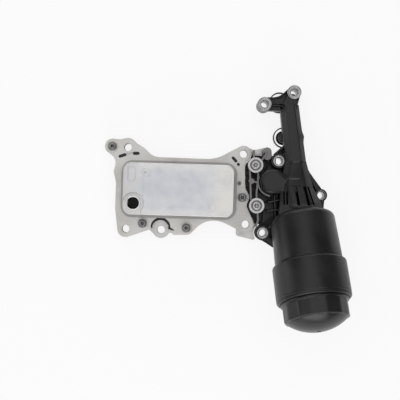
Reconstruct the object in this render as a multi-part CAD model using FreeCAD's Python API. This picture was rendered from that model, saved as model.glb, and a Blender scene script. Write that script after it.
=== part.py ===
import FreeCAD, Part
import math
import os
from FreeCAD import Vector

# Engine oil cooler module: an aluminium carrier with a plate-stack oil cooler on it,
# and a moulded oil filter housing with its screw cap beside it. Millimetres.
# Z = 0 is the face that seats on the engine, +Z points away from the engine,
# and the origin is midway between the two left-hand bolt holes.

# Cooler core, which places everything beside it
CORE_LENGTH = 129.6
CORE_WIDTH = 60.8
CORE_LEFT = -2.4
CORE_MIDDLE_Y = -0.6
CORE_CENTRE = (CORE_LEFT + CORE_LENGTH / 2, CORE_MIDDLE_Y)
CORE_RIGHT = CORE_LEFT + CORE_LENGTH
CORE_HIGH = CORE_MIDDLE_Y + CORE_WIDTH / 2
CORE_LOW = CORE_MIDDLE_Y - CORE_WIDTH / 2
CORE_CORNER_R = 9.5

# Bolt holes in the carrier and the cooler's base plate
BOLT_HOLE_R = 4.6
LEFT_HOLE_SPACING = 97.6
LOWER_HOLE_SPACING = 42.2
LEFT_TOP_HOLE = (0.0, LEFT_HOLE_SPACING / 2)
LEFT_LOW_HOLE = (0.0, -LEFT_HOLE_SPACING / 2)
RING_HOLE = (LOWER_HOLE_SPACING, -LEFT_HOLE_SPACING / 2)
RIGHT_TOP_HOLE = (CORE_RIGHT + 11.1, CORE_HIGH + 15.1)
RIGHT_LOW_HOLE = (CORE_RIGHT + 15.8, CORE_LOW - 8.3)
RING_LUG_R = 9.9
RING_NOTCH_GAP = 0.9

# Carrier casting
CARRIER_THICK = 10.0
CARRIER_INSET = 1.0
RIB_TOP = 24.0
RIB_WIDTH = 2.2
BOSS_TOP = 28.0
JOINT_BOSS_R = 9.1
UPPER_JOINT_BOSS = (CORE_RIGHT + 25.3, 31.5)
LOWER_JOINT_BOSS = (CORE_RIGHT + 27.9, -16.6)
JOINT_BOSSES = (UPPER_JOINT_BOSS, LOWER_JOINT_BOSS)
SMALL_BOSS = (CORE_RIGHT + 21.2, 12.4)
SMALL_BOSS_R = 3.4
PASSAGE_DEPTH = 3.0
PASSAGE_CORNER_R = 9.0
PASSAGE_WIDTH = 44.0
PORT_HOLE_R = 6.0

# Gasket in the carrier's back
GASKET_WIDTH = 3.0
GASKET_DEPTH = 2.2
GASKET_MARGIN = 5.0

# Cooler: base plate, foot, plate stack and cover
BASE_PLATE_THICK = 5.0
BASE_PLATE_TOP = CARRIER_THICK + BASE_PLATE_THICK
SLOT_FLOOR = CARRIER_THICK + 1.0
HOLLOW_DROP = 5.0
HOLLOW_SHIFT = 1.7
HOLLOW_CLEARANCE = 0.9
FOOT_MARGIN = 4.2
FOOT_THICK = 1.8
STACK_PLATES = 12
STACK_PITCH = 2.3
STACK_FLARE = 1.1
COVER_THICK = 3.2
COVER_EDGE_R = 0.9
STACK_TOP = BASE_PLATE_TOP + FOOT_THICK + STACK_PLATES * STACK_PITCH
COVER_TOP = STACK_TOP + COVER_THICK
PORT_CENTRE = (CORE_LEFT + 12.4, CORE_LOW + 13.4)
PORT_BORE_R = 7.0
PORT_RING_R = PORT_BORE_R + 1.5
PORT_RECESS_R = PORT_RING_R + 3.7
PORT_RECESS_DEPTH = 2.0
PORT_BORE_DEPTH = 26.0
PORT_STEP = 9.2
EMBOSS = 0.6

# Screws that hold the cooler's base plate
PLATE_SCREW_PLACES = [
    (LEFT_TOP_HOLE[0] - 18.4, LEFT_TOP_HOLE[1] + 0.6),
    (20.0, CORE_LOW - 10.6),
    (72.4, CORE_LOW - 14.6),
    (CORE_RIGHT + 11.2, -7.3),
]
PLATE_SCREW_HEAD_R = 5.6
PLATE_SCREW_HEAD = 3.0
PLATE_SCREW_SHANK_R = 3.0
PLATE_SCREW_DEPTH = 8.0
SCREW_PAD_MARGIN = 1.1
SCREW_PAD_HEIGHT = 0.8
RECESS_R = 2.6
RECESS_DEPTH = 1.8
DOWEL_R = 2.4
DOWEL_CLEARANCE = 0.5
DOWEL_PLACE = (CORE_RIGHT + FOOT_MARGIN + DOWEL_R + DOWEL_CLEARANCE, 9.5)
DOWEL_LENGTH = 12.0

# Screws that join the filter housing to the carrier
JOINT_SCREW_HEAD_R = 6.2
JOINT_SCREW_HEAD = 3.4
JOINT_SCREW_SHANK_R = 3.0
JOINT_SCREW_CLEARANCE = 0.3
JOINT_SCREW_RECESS_R = 3.4
JOINT_SCREW_RECESS_DEPTH = 2.2
JOINT_SCREW_SEAT = BOSS_TOP + 0.6 - JOINT_SCREW_HEAD

# Floor of the filter housing that fills the carrier's open pocket, with a round plug under each joint boss
FLOOR_THICK = 2.6
FLOOR_CLEARANCE = 0.3
FLOOR_MARGIN = 0.6
JOINT_PLUG_R = 6.4
JOINT_PLUG_TOP = 10.0
POCKET_RIB_FOOT = FLOOR_THICK + FLOOR_CLEARANCE

# Filter axis: how it lies, and where the bowl meets its collar
AXIS_TURN = math.radians(8.0)
AXIS_TILT = math.radians(20.0)

AXIS_LIFT = 15.7

# Filter housing: bowl and collar, along the filter axis from AXIS_POINT
CAVITY_R = 34.6
BOWL_WALL = 4.7
BOWL_DRAFT = 2.1
BOWL_R = CAVITY_R + BOWL_WALL
BOWL_HEAD_R = BOWL_R - BOWL_DRAFT
BOWL_HEAD = -61.0
BOWL_HEAD_WALL = 3.8
BOWL_SHOULDER_R = 15.0
AXIS_POINT = Vector(CORE_RIGHT + 88.4, -79.7, BOWL_R + AXIS_LIFT)
CAVITY_FLOOR = BOWL_HEAD + BOWL_HEAD_WALL
COLLAR_START = 4.4
COLLAR_WALL = 6.9
LIP_END = 47.6
LIP_ROUND_R = 3.6
MOUTH_STEP = 2.0
MOUTH_LENGTH = 12.8
MOUTH_R = CAVITY_R + MOUTH_STEP
MOUTH_DEPTH = LIP_END - MOUTH_LENGTH
COLLAR_R = MOUTH_R + COLLAR_WALL

# Filter housing: flange, neck and transition
FLANGE_THICK = 7.0
FLANGE_BOSS_R = 9.0
SLEEVE_BOSS_TOP = 26.6
UPPER_FLANGE_BOSS = (CORE_RIGHT + 52.6, 37.0)
SIDE_FLANGE_BOSS = (CORE_RIGHT + 103.5, -2.0)
SIDE_FLANGE_BOSS_R = 7.6
LOWER_FLANGE_BOSS = (CORE_RIGHT + 35.9, -48.6)
DOME_R = 14.6
DOME_CENTRE = (CORE_RIGHT + 45.7, 12.3)
DOME_END_X = DOME_CENTRE[0] + 27.1
DOME_TOP = 45.0
DOME_EDGE_R = 5.0
CASTING_GAP = 1.2
WEB_TOP = SLEEVE_BOSS_TOP - 2.0
HOUSING_WEBS = [
    (UPPER_FLANGE_BOSS, (CORE_RIGHT + 64.8, 52.0), 4.0, WEB_TOP),
    ((CORE_RIGHT + 48.3, 44.5), (CORE_RIGHT + 61.3, 57.0), 2.4, WEB_TOP),
    (SIDE_FLANGE_BOSS, (CORE_RIGHT + 86.8, 26.0), 4.0, WEB_TOP),
    (LOWER_FLANGE_BOSS, (CORE_RIGHT + 54.8, -64.0), 5.0, 20.0),
    (LOWER_FLANGE_BOSS, (CORE_RIGHT + 58.8, -30.0), 4.0, WEB_TOP),
    ((CORE_RIGHT + 41.8, -12.0), (CORE_RIGHT + 58.8, -8.0), 3.0, 30.0),
    ((CORE_RIGHT + 40.8, -22.0), (CORE_RIGHT + 58.8, -20.0), 3.0, 30.0),
]
NECK_LOW = Vector(CORE_RIGHT + 72.4, 37.0, 0)
NECK_HIGH = Vector(CORE_RIGHT + 63.0, 104.0, 0)
NECK_LOW_WIDTH = 24.4
NECK_HIGH_WIDTH = 22.4
NECK_BOTTOM = 9.0
NECK_TOP = 36.0
NECK_CHAMFER = 7.0
TRANSITION_MIDDLE = (CORE_RIGHT + 76.8, 6.0)
TRANSITION_MIDDLE_WIDTH = 46.0
TRANSITION_MIDDLE_TOP = 50.0
TRANSITION_HEAD = (CORE_RIGHT + 80.2, -26.0)
TRANSITION_HEAD_WIDTH = 56.0
TRANSITION_HEAD_TOP = 63.0
GROOVE_FLOOR = 36.0
GROOVE_CUT_TOP = TRANSITION_HEAD_TOP + 30.0
GROOVES = [(-19.0, -18.4, 1.6), (-15.7, -15.0, 1.6), (-5.7, -2.3, 3.0), (4.6, 9.4, 2.8), (9.0, 15.4, 1.8)]
GROOVE_TOP_Y = 7.0
GROOVE_LOW_Y = -13.5

# Two-eared arm at the head of the neck
ARM_LEFT_EAR = (CORE_RIGHT + 33.4, 103.5)
ARM_RIGHT_EAR = (CORE_RIGHT + 68.0, 118.4)
EAR_R = 7.9
ARM_WIDTH = 15.6
ARM_BOTTOM = 14.0
ARM_TOP = 32.0
ARM_HOLLOW_R = 18.0
ARM_POCKET_SHIFT = 14.6
ARM_POCKET_SIZE = 9.6
ARM_POCKET_DEPTH = 5.0
ARM_RIB_WIDTH = 1.0
ARM_RIB_SPACING = 2.7

# Ports behind the neck
PORT_TUBE_BORE_R = 4.8
PORT_TUBE_WALL = 1.6
PORT_TUBE_R = PORT_TUBE_BORE_R + PORT_TUBE_WALL
PORT_SHROUD_GAP = 4.7
PORT_SHROUD_WALL = 1.3
PORT_SHROUD_R = PORT_TUBE_R + PORT_SHROUD_GAP + PORT_SHROUD_WALL
PORT_SHROUD_TOP = 11.0
LOWER_PORT = (CORE_RIGHT + 58.5, 65.9)
UPPER_PORT = (CORE_RIGHT + 52.4, 107.7)
SEAL_R = 1.1

# Metal sleeves in the housing
SLEEVE_BORE_R = 4.2
ARM_SLEEVE_TOP = 34.0
ARM_SLEEVE_BODY_R = SLEEVE_BORE_R + 1.8
ARM_SLEEVE_FLANGE_R = ARM_SLEEVE_BODY_R + 2.3
ARM_SLEEVE_FLANGE = 2.0
FLANGE_SLEEVE_R = SLEEVE_BORE_R + 2.5
FLANGE_SLEEVE_TOP = 28.0
SLEEVE_HOLE_TOP = TRANSITION_HEAD_TOP + 27.0

# Screw cap
CAP_SIDES = 14
CAP_FLATS = 2 * MOUTH_R + 0.8
CAP_FLANGE_R = MOUTH_R + 2.8
CAP_FLANGE = 2.0
CAP_PARTING_GAP = 0.3
CAP_LENGTH = 22.4
CAP_PRISM_END = LIP_END + CAP_LENGTH
CAP_DOME = 12.0
CAP_EDGE_R = 3.5
CAP_THREAD_CLEARANCE = 0.35
CAP_WALL = 3.65
CAP_TUBE_R = MOUTH_R - CAP_THREAD_CLEARANCE
CAP_TUBE_BORE_R = CAP_TUBE_R - CAP_WALL
CAP_NOSE = MOUTH_DEPTH + 2.6
CAP_SEAL_SECTION_R = 1.2
CAP_SEAL_CLEARANCE = 0.2
CAP_SEAL_OUTER_R = MOUTH_R - CAP_SEAL_CLEARANCE
CAP_SEAL_PLACE = LIP_END - 6.8
CAP_HEAD_WALL = 4.0
CAP_INNER_END = CAP_PRISM_END - CAP_HEAD_WALL

# Standpipe in the bowl's middle
STANDPIPE_R = 9.0
STANDPIPE_WALL = 2.4
STANDPIPE_BORE_R = STANDPIPE_R - STANDPIPE_WALL
STANDPIPE_CLEARANCE = 0.6
STANDPIPE_END = CAP_INNER_END - 32.0

# Filter element, which is lifted by the cap and slides over the standpipe
ELEMENT_GAP = 3.0
END_CAP_R = CAVITY_R - ELEMENT_GAP
ELEMENT_R = END_CAP_R - 0.6
PLEAT_DEPTH = 4.0
PLEATS = 36
END_CAP_THICK = 2.4
ELEMENT_LOW = CAVITY_FLOOR + 7.2
ELEMENT_HIGH = CAP_INNER_END - 28.0
CAGE_R = STANDPIPE_R + 5.6
CAGE_WALL = 1.4
CAGE_WINDOW_LENGTH = 34.0
CAGE_WINDOW_WIDTH = 9.0
SNAP_RING_R = 20.0
SNAP_RING_WALL = 2.0
SNAP_GAP = 0.3
SNAP_RING_END = CAP_INNER_END - 12.0
SNAP_OVERLAP = 6.0

# Bypass valve in the standpipe's head
VALVE_SEAT = 2.4
PLUNGER_CLEARANCE = 0.4
PLUNGER_R = STANDPIPE_BORE_R - PLUNGER_CLEARANCE
PLUNGER_LENGTH = 5.0
PLUNGER_WALL = 1.0
VALVE_SEAT_BORE_R = PLUNGER_R - 2.0
SPRING_LENGTH = 15.0
SPRING_WIRE_R = 0.6
SPRING_R = PLUNGER_R - PLUNGER_WALL - SPRING_WIRE_R - 0.4
SPRING_TURNS = 5
RETAINER_THICK = 2.0
RETAINER_BORE_R = SPRING_R - 1.8


def belt_edges(discs, height):
    """Edges of a belt laid clockwise round discs: outside a positive radius, inside a negative one."""
    lines = []
    count = len(discs)
    for index in range(count):
        ax, ay, ar = discs[index]
        bx, by, br = discs[(index + 1) % count]
        along = math.hypot(bx - ax, by - ay)
        heading = math.atan2(by - ay, bx - ax) + math.asin((br - ar) / along)
        side = Vector(math.sin(heading), -math.cos(heading), 0)
        start = Vector(ax, ay, height) - side * ar
        end = Vector(bx, by, height) - side * br
        lines.append((start, end, heading))
    edges = []
    for index in range(count):
        start, end, heading = lines[index]
        if (end - start).Length > 1e-6:
            edges.append(Part.LineSegment(start, end).toShape())
        cx, cy, cr = discs[(index + 1) % count]
        leave, unused, next_heading = lines[(index + 1) % count]
        turn = math.remainder(next_heading - heading, 2 * math.pi)
        if cr > 0 and turn > 1e-6:
            turn -= 2 * math.pi
        if cr < 0 and turn < -1e-6:
            turn += 2 * math.pi
        middle = heading + turn / 2
        side = Vector(math.sin(middle), -math.cos(middle), 0)
        if abs(turn) > 1e-6:
            edges.append(Part.Arc(end, Vector(cx, cy, height) - side * cr, leave).toShape())
    return edges


def belt_prism(discs, bottom, top):
    """Upright solid whose outline is a belt round the discs."""
    wire = Part.Wire(belt_edges(discs, bottom))
    return Part.Face(wire).extrude(Vector(0, 0, top - bottom))


def inset(discs, distance):
    """The same belt moved inwards by a distance."""
    return [(x, y, r - distance) for x, y, r in discs]


def rounded_edges(corners, place):
    """Edges of a closed outline of (a, b, corner radius), laid in space by place(a, b)."""
    edges = []
    count = len(corners)
    entries = []
    for index in range(count):
        a, b, radius = corners[index]
        pa, pb, unused = corners[index - 1]
        na, nb, unused = corners[(index + 1) % count]
        if radius == 0:
            entries.append((place(a, b), None, place(a, b)))
            continue
        back = math.atan2(pb - b, pa - a)
        ahead = math.atan2(nb - b, na - a)
        half = abs(math.remainder(ahead - back, 2 * math.pi)) / 2
        reach = radius / math.tan(half)
        bisector = back + math.remainder(ahead - back, 2 * math.pi) / 2
        depth = radius / math.sin(half) - radius
        start = place(a + reach * math.cos(back), b + reach * math.sin(back))
        middle = place(a + depth * math.cos(bisector), b + depth * math.sin(bisector))
        end = place(a + reach * math.cos(ahead), b + reach * math.sin(ahead))
        entries.append((start, middle, end))
    for index in range(count):
        start, middle, end = entries[index]
        if middle is not None:
            edges.append(Part.Arc(start, middle, end).toShape())
        following = entries[(index + 1) % count][0]
        if (following - end).Length > 1e-6:
            edges.append(Part.LineSegment(end, following).toShape())
    return edges


def rounded_block(centre, length, width, radius, bottom, top):
    """Block with rounded upright corners."""
    x, y = centre
    a, b = length / 2, width / 2
    corners = [(x - a, y - b, radius), (x + a, y - b, radius), (x + a, y + b, radius), (x - a, y + b, radius)]
    wire = Part.Wire(rounded_edges(corners, lambda p, q: Vector(p, q, bottom)))
    return Part.Face(wire).extrude(Vector(0, 0, top - bottom))


def cylinder(place, radius, bottom, top):
    """Upright cylinder."""
    return Part.makeCylinder(radius, top - bottom, Vector(place[0], place[1], bottom))


def slot(first, second, width, bottom, top):
    """Upright solid with round ends, between two places."""
    return belt_prism([(first[0], first[1], width / 2), (second[0], second[1], width / 2)], bottom, top)


def rib(first, second, width, bottom, top):
    """Straight wall with square ends, between two places."""
    along = Vector(second[0] - first[0], second[1] - first[1], 0)
    across = Vector(-along.y, along.x, 0).normalize() * (width / 2)
    start = Vector(first[0], first[1], bottom)
    corners = [start - across, start + along - across, start + along + across, start + across]
    wire = Part.makePolygon(corners + [corners[0]])
    return Part.Face(wire).extrude(Vector(0, 0, top - bottom))


def fused(shapes):
    """One solid of several that overlap."""
    return shapes[0].multiFuse(shapes[1:]).removeSplitter()


def on_filter_axis(shape):
    """Moves a shape made along Z to the tilted filter axis."""
    across = Vector(math.cos(AXIS_TURN), math.sin(AXIS_TURN), 0)
    flat = math.cos(AXIS_TILT)
    along = Vector(math.sin(AXIS_TURN) * flat, -math.cos(AXIS_TURN) * flat, math.sin(AXIS_TILT))
    turn = FreeCAD.Rotation(across, along.cross(across), along, "ZXY")
    moved = shape.copy()
    moved.transformShape(FreeCAD.Placement(AXIS_POINT, turn).toMatrix())
    return moved


def turned(profile):
    """Solid of revolution about Z from corners of (radius, height, corner radius)."""
    wire = Part.Wire(rounded_edges(profile, lambda r, h: Vector(r, 0, h)))
    return Part.Face(wire).revolve(Vector(0, 0, 0), Vector(0, 0, 1), 360)


def ring(outer, inner, low, high):
    """Plain tube about Z."""
    return turned([(inner, low, 0), (outer, low, 0), (outer, high, 0), (inner, high, 0)])


def lower_hollow(x, y, r):
    """Disc of the long hollow under the core, which nearly touches the lug (x, y, r) on its left."""
    reach = (RIGHT_LOW_HOLE[0] - x) / 2 - HOLLOW_SHIFT
    top = CORE_LOW - HOLLOW_DROP
    rise = top - y
    clear = r + HOLLOW_CLEARANCE
    radius = (reach ** 2 + rise ** 2 - clear ** 2) / (2 * (clear + rise))
    return (x + reach, top - radius, -radius)


def plate_outline():
    """Outline of the cooler's base plate, as discs for a belt, clockwise from the upper left lug."""
    upper_left = LEFT_TOP_HOLE
    lower_left = LEFT_LOW_HOLE
    ring_x, ring_y = RING_HOLE
    left_screw, low_screw, third_screw, right_screw = PLATE_SCREW_PLACES
    return [
        (left_screw[0], left_screw[1], 9.1),
        (upper_left[0] - 9.5, upper_left[1] + 17.2, -8.0),
        (upper_left[0], upper_left[1], 11.1),
        (upper_left[0] + 15.5, upper_left[1] + 11.4, -8.0),
        (upper_left[0] + 14.5, upper_left[1] - 5.8, 7.5),
        (38.0, upper_left[1] + 7.2, -18.0),
        (CORE_RIGHT - 32.2, CORE_HIGH + 47.8, -40.0),
        (RIGHT_TOP_HOLE[0], RIGHT_TOP_HOLE[1], 9.6),
        (RIGHT_TOP_HOLE[0] + 13.1, RIGHT_TOP_HOLE[1] - 16.3, -10.9),
        (CORE_RIGHT + 22.2, 6.0, -8.0),
        (right_screw[0], right_screw[1], 8.2),
        (CORE_RIGHT + 25.3, -16.5, -8.5),
        (RIGHT_LOW_HOLE[0], RIGHT_LOW_HOLE[1], 9.9),
        lower_hollow(third_screw[0], third_screw[1], 8.4),
        (third_screw[0], third_screw[1], 8.4),
        (ring_x + 16.3, ring_y - 2.5, 3.0),
        (ring_x, ring_y, -(RING_LUG_R + RING_NOTCH_GAP)),
        (ring_x - 14.0, ring_y + 2.6, 2.6),
        (lower_left[0], lower_left[1], 9.9),
        (CORE_LEFT - 0.8, CORE_LOW + 7.0, 10.0),
        (CORE_LEFT - 19.6, 5.0, -9.0),
        (CORE_LEFT - 7.1, 19.5, 6.6),
        (left_screw[0] - 8.6, left_screw[1] - 20.4, -12.8),
    ]


def carrier_outline():
    """Outline of the carrier casting, as discs for a belt, clockwise from the upper left lug."""
    plate = inset(plate_outline(), CARRIER_INSET)
    ring_x, ring_y = RING_HOLE
    boss_x, boss_y = LOWER_FLANGE_BOSS
    dome_x, dome_y = DOME_CENTRE
    right_side = [
        (RIGHT_TOP_HOLE[0] + 13.7, RIGHT_TOP_HOLE[1] + 15.1, -9.6),
        (CORE_RIGHT + 39.4, 48.4, 5.2),
        (CORE_RIGHT + 37.2, 31.5, 2.5),
        (dome_x, dome_y, -(DOME_R + CASTING_GAP)),
        (CORE_RIGHT + 43.6, -6.8, 2.6),
        (CORE_RIGHT + 38.0, -15.0, -2.5),
        (CORE_RIGHT + 33.2, -33.0, 2.0),
        (boss_x, boss_y, -(FLANGE_BOSS_R + CASTING_GAP)),
        (CORE_RIGHT + 25.3, -55.4, 2.2),
        (CORE_RIGHT + 8.4, -50.6, 3.2),
        (CORE_RIGHT + 2.0, -46.4, -3.2),
    ]
    lower_side = [
        plate[14],
        (ring_x + 17.8, ring_y - 1.2, 3.0),
        (ring_x + 11.6, ring_y - 6.6, -3.0),
        (ring_x, ring_y, RING_LUG_R),
        (ring_x - 14.7, ring_y - 3.0, -2.6),
    ]
    return plate[:8] + right_side + [plate[13]] + lower_side + plate[18:]


def bolt_holes(bottom, top):
    """Through holes for the engine bolts."""
    places = [LEFT_TOP_HOLE, LEFT_LOW_HOLE, RING_HOLE, RIGHT_TOP_HOLE, RIGHT_LOW_HOLE]
    return [cylinder(place, BOLT_HOLE_R, bottom, top) for place in places]


def cooler_port_places():
    """The four places where oil and coolant pass between carrier and cooler."""
    reach_x = CORE_LENGTH / 2 - (PORT_CENTRE[0] - (CORE_CENTRE[0] - CORE_LENGTH / 2))
    reach_y = CORE_CENTRE[1] - PORT_CENTRE[1]
    x, y = CORE_CENTRE
    return [(x + i * reach_x, y + j * reach_y) for i in (-1, 1) for j in (-1, 1)]


def gasket_loop(width_change, bottom, top):
    """Closed band under the carrier, inside its outline."""
    reach = CORE_LENGTH + 2 * GASKET_MARGIN
    rise = CORE_WIDTH + 2 * GASKET_MARGIN
    outer = rounded_block(CORE_CENTRE, reach + width_change, rise + width_change, 12.0, bottom, top)
    shrink = 2 * GASKET_WIDTH + width_change
    inner = rounded_block(CORE_CENTRE, reach - shrink, rise - shrink, 12.0 - GASKET_WIDTH, bottom, top)
    return outer.cut(inner)


def passage(side):
    """Shallow flow passage in the carrier's back that joins two cooler ports."""
    x = CORE_CENTRE[0] + side * (CORE_LENGTH / 2 - PASSAGE_WIDTH / 2 - GASKET_MARGIN)
    size = CORE_WIDTH - 2 * GASKET_MARGIN
    return rounded_block((x, CORE_CENTRE[1]), PASSAGE_WIDTH, size, PASSAGE_CORNER_R, 0, PASSAGE_DEPTH)


def carrier_casting():
    """Lower casting: flange under the cooler and open ribbed box beside the filter housing."""
    body = belt_prism(carrier_outline(), 0, CARRIER_THICK)
    body = body.cut(carrier_pocket(0, CARRIER_THICK, 0))
    bosses = [cylinder(p, JOINT_BOSS_R, POCKET_RIB_FOOT, BOSS_TOP) for p in JOINT_BOSSES]
    bosses.append(cylinder(SMALL_BOSS, SMALL_BOSS_R, POCKET_RIB_FOOT, RIB_TOP))
    body = fused([body] + bosses + carrier_ribs())
    cuts = bolt_holes(-1, BOSS_TOP + 1)
    cuts.append(gasket_loop(0, -1, GASKET_DEPTH))
    cuts += [passage(-1), passage(1)]
    cuts += [cylinder(p, PORT_HOLE_R, PASSAGE_DEPTH - 1, CARRIER_THICK + 1) for p in cooler_port_places()]
    cuts += [cylinder(p, PLATE_SCREW_SHANK_R, BASE_PLATE_TOP - PLATE_SCREW_DEPTH, CARRIER_THICK + 1)
             for p in PLATE_SCREW_PLACES]
    cuts.append(cylinder(DOWEL_PLACE, DOWEL_R, BASE_PLATE_TOP + 1 - DOWEL_LENGTH, CARRIER_THICK + 1))
    head_space_r = JOINT_SCREW_HEAD_R + JOINT_SCREW_CLEARANCE
    for place in JOINT_BOSSES:
        cuts.append(cylinder(place, JOINT_SCREW_SHANK_R, 0, BOSS_TOP + 1))
        cuts.append(cylinder(place, head_space_r, JOINT_SCREW_SEAT, BOSS_TOP + 1))
        cuts.append(cylinder(place, JOINT_PLUG_R + FLOOR_CLEARANCE, -1, JOINT_PLUG_TOP))
    return body.cut(Part.makeCompound(cuts))


def carrier_pocket(bottom, top, margin):
    """Open space between the cooler's base plate and the filter housing, smaller all round by a margin."""
    left, high = RIGHT_TOP_HOLE
    low = RIGHT_LOW_HOLE[1] + margin
    width = high - margin - low
    box = Part.makeBox(UPPER_FLANGE_BOSS[0] - left, width, top - bottom, Vector(left, low, bottom))
    return box.cut(belt_prism(inset(plate_outline(), -margin), bottom - 1, top + 1))


def carrier_ribs():
    """Tall machined ribs that bridge the open pocket, and the wall round the dome."""
    upper, lower = UPPER_JOINT_BOSS, LOWER_JOINT_BOSS
    dome_x, dome_y = DOME_CENTRE
    runs = [
        ((CORE_RIGHT + 18.7, 27.9), (CORE_RIGHT + 21.2, -10.0)),
        ((upper[0] + 3.0, upper[1] - 6.0), (CORE_RIGHT + 28.8, 18.6)),
        ((CORE_RIGHT + 28.8, 18.6), (CORE_RIGHT + 28.4, 9.3)),
        ((CORE_RIGHT + 28.4, 9.3), (CORE_RIGHT + 27.4, -1.0)),
        ((CORE_RIGHT + 27.4, -1.0), (lower[0], lower[1] + 6.0)),
        ((lower[0] + 1.5, lower[1] - 7.0), (CORE_RIGHT + 30.2, -34.5)),
        ((CORE_RIGHT + 30.2, -34.5), (CORE_RIGHT + 27.8, -41.5)),
        ((upper[0] + 6.0, upper[1] + 4.0), (CORE_RIGHT + 38.8, 47.0)),
        ((upper[0] - 2.0, upper[1] + 6.0), (CORE_RIGHT + 23.2, 49.0)),
        (SMALL_BOSS, (CORE_RIGHT + 28.6, 11.0)),
    ]
    ribs = [rib(first, second, RIB_WIDTH, POCKET_RIB_FOOT, RIB_TOP) for first, second in runs]
    inner_r = DOME_R + CASTING_GAP
    guard = cylinder(DOME_CENTRE, inner_r + RIB_WIDTH, POCKET_RIB_FOOT, RIB_TOP)
    guard = guard.cut(cylinder(DOME_CENTRE, inner_r, 0, RIB_TOP + 1))
    keep = rib((dome_x - inner_r - 4, dome_y - 7.0), (dome_x - 2.0, dome_y - 7.0), 26.0, -1, RIB_TOP + 1)
    ribs.append(guard.common(keep))
    lug = slot((CORE_RIGHT + 38.8, 47.8), (CORE_RIGHT + 39.2, 43.4), 10.6, POCKET_RIB_FOOT, RIB_TOP - 2)
    nick = slot((CORE_RIGHT + 34.8, 44.0), (CORE_RIGHT + 35.4, 46.0), 1.6, POCKET_RIB_FOOT + 2, RIB_TOP)
    ribs.append(lug.cut(nick))
    return ribs


def carrier_gasket():
    """Moulded rubber band flush in the carrier's back."""
    return gasket_loop(0, 0, GASKET_DEPTH)


def cooler_base_plate():
    """Lobed aluminium plate that the stack is brazed to."""
    plate = belt_prism(plate_outline(), CARRIER_THICK, BASE_PLATE_TOP)
    cuts = bolt_holes(0, BASE_PLATE_TOP + 1)
    cuts += [cylinder(p, PLATE_SCREW_SHANK_R, 0, BASE_PLATE_TOP + 1) for p in PLATE_SCREW_PLACES]
    cuts += [cylinder(p, PORT_HOLE_R, 0, BASE_PLATE_TOP + 1) for p in cooler_port_places()]
    cuts.append(cylinder(DOWEL_PLACE, DOWEL_R, 0, BASE_PLATE_TOP + 1))
    hole_x, hole_y = LEFT_TOP_HOLE
    left = (hole_x - 9.4, hole_y - 11.2)
    middle = (hole_x - 3.6, hole_y - 9.2)
    right = (hole_x + 7.8, hole_y - 7.0)
    cuts.append(slot(left, middle, 2.8, SLOT_FLOOR, BASE_PLATE_TOP + 1))
    cuts.append(slot(right, (right[0] + 4.2, right[1]), 3.2, SLOT_FLOOR, BASE_PLATE_TOP + 1))
    cuts.append(slot(middle, right, 2.2, BASE_PLATE_TOP - 0.7, BASE_PLATE_TOP + 1))
    upper = (CORE_RIGHT - 1.3, CORE_HIGH + 10.2)
    lower = (CORE_RIGHT + 2.4, CORE_HIGH + 6.6)
    cuts.append(slot(upper, lower, 2.4, SLOT_FLOOR, BASE_PLATE_TOP + 1))
    cuts.append(cylinder((CORE_RIGHT + 5.4, CORE_HIGH + 2.2), 1.6, SLOT_FLOOR, BASE_PLATE_TOP + 1))
    plate = plate.cut(Part.makeCompound(cuts))
    collars = []
    pad_r = PLATE_SCREW_HEAD_R + SCREW_PAD_MARGIN
    for place in PLATE_SCREW_PLACES:
        pad = cylinder(place, pad_r, BASE_PLATE_TOP - 1, BASE_PLATE_TOP + SCREW_PAD_HEIGHT)
        collars.append(pad.cut(cylinder(place, PLATE_SCREW_SHANK_R, 0, BASE_PLATE_TOP + 2)))
    return fused([plate] + collars)


def cooler_foot():
    """Frame between the base plate and the stack."""
    length = CORE_LENGTH + 2 * FOOT_MARGIN
    width = CORE_WIDTH + 2 * FOOT_MARGIN - 1
    top = BASE_PLATE_TOP + FOOT_THICK
    foot = rounded_block(CORE_CENTRE, length, width, CORE_CORNER_R + FOOT_MARGIN, BASE_PLATE_TOP, top)
    return foot.cut(Part.makeCompound([cylinder(p, PORT_HOLE_R, 0, top + 1) for p in cooler_port_places()]))


def cooler_stack():
    """Brazed stack: each dished plate flares out to the rim of the next."""
    x, y = CORE_CENTRE
    layers = []
    for index in range(STACK_PLATES):
        low = BASE_PLATE_TOP + FOOT_THICK + index * STACK_PITCH
        wires = []
        for flare, height in ((STACK_FLARE, low), (0.0, low + STACK_PITCH)):
            a = CORE_LENGTH / 2 - flare
            b = CORE_WIDTH / 2 - flare
            r = CORE_CORNER_R - flare
            corners = [(x - a, y - b, r), (x + a, y - b, r), (x + a, y + b, r), (x - a, y + b, r)]
            wires.append(Part.Wire(rounded_edges(corners, lambda p, q: Vector(p, q, height))))
        layers.append(Part.makeLoft(wires, True, True))
    stack = fused(layers)
    port = cylinder(PORT_CENTRE, PORT_BORE_R, COVER_TOP - PORT_BORE_DEPTH, STACK_TOP + 1)
    return stack.cut(port)


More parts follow.
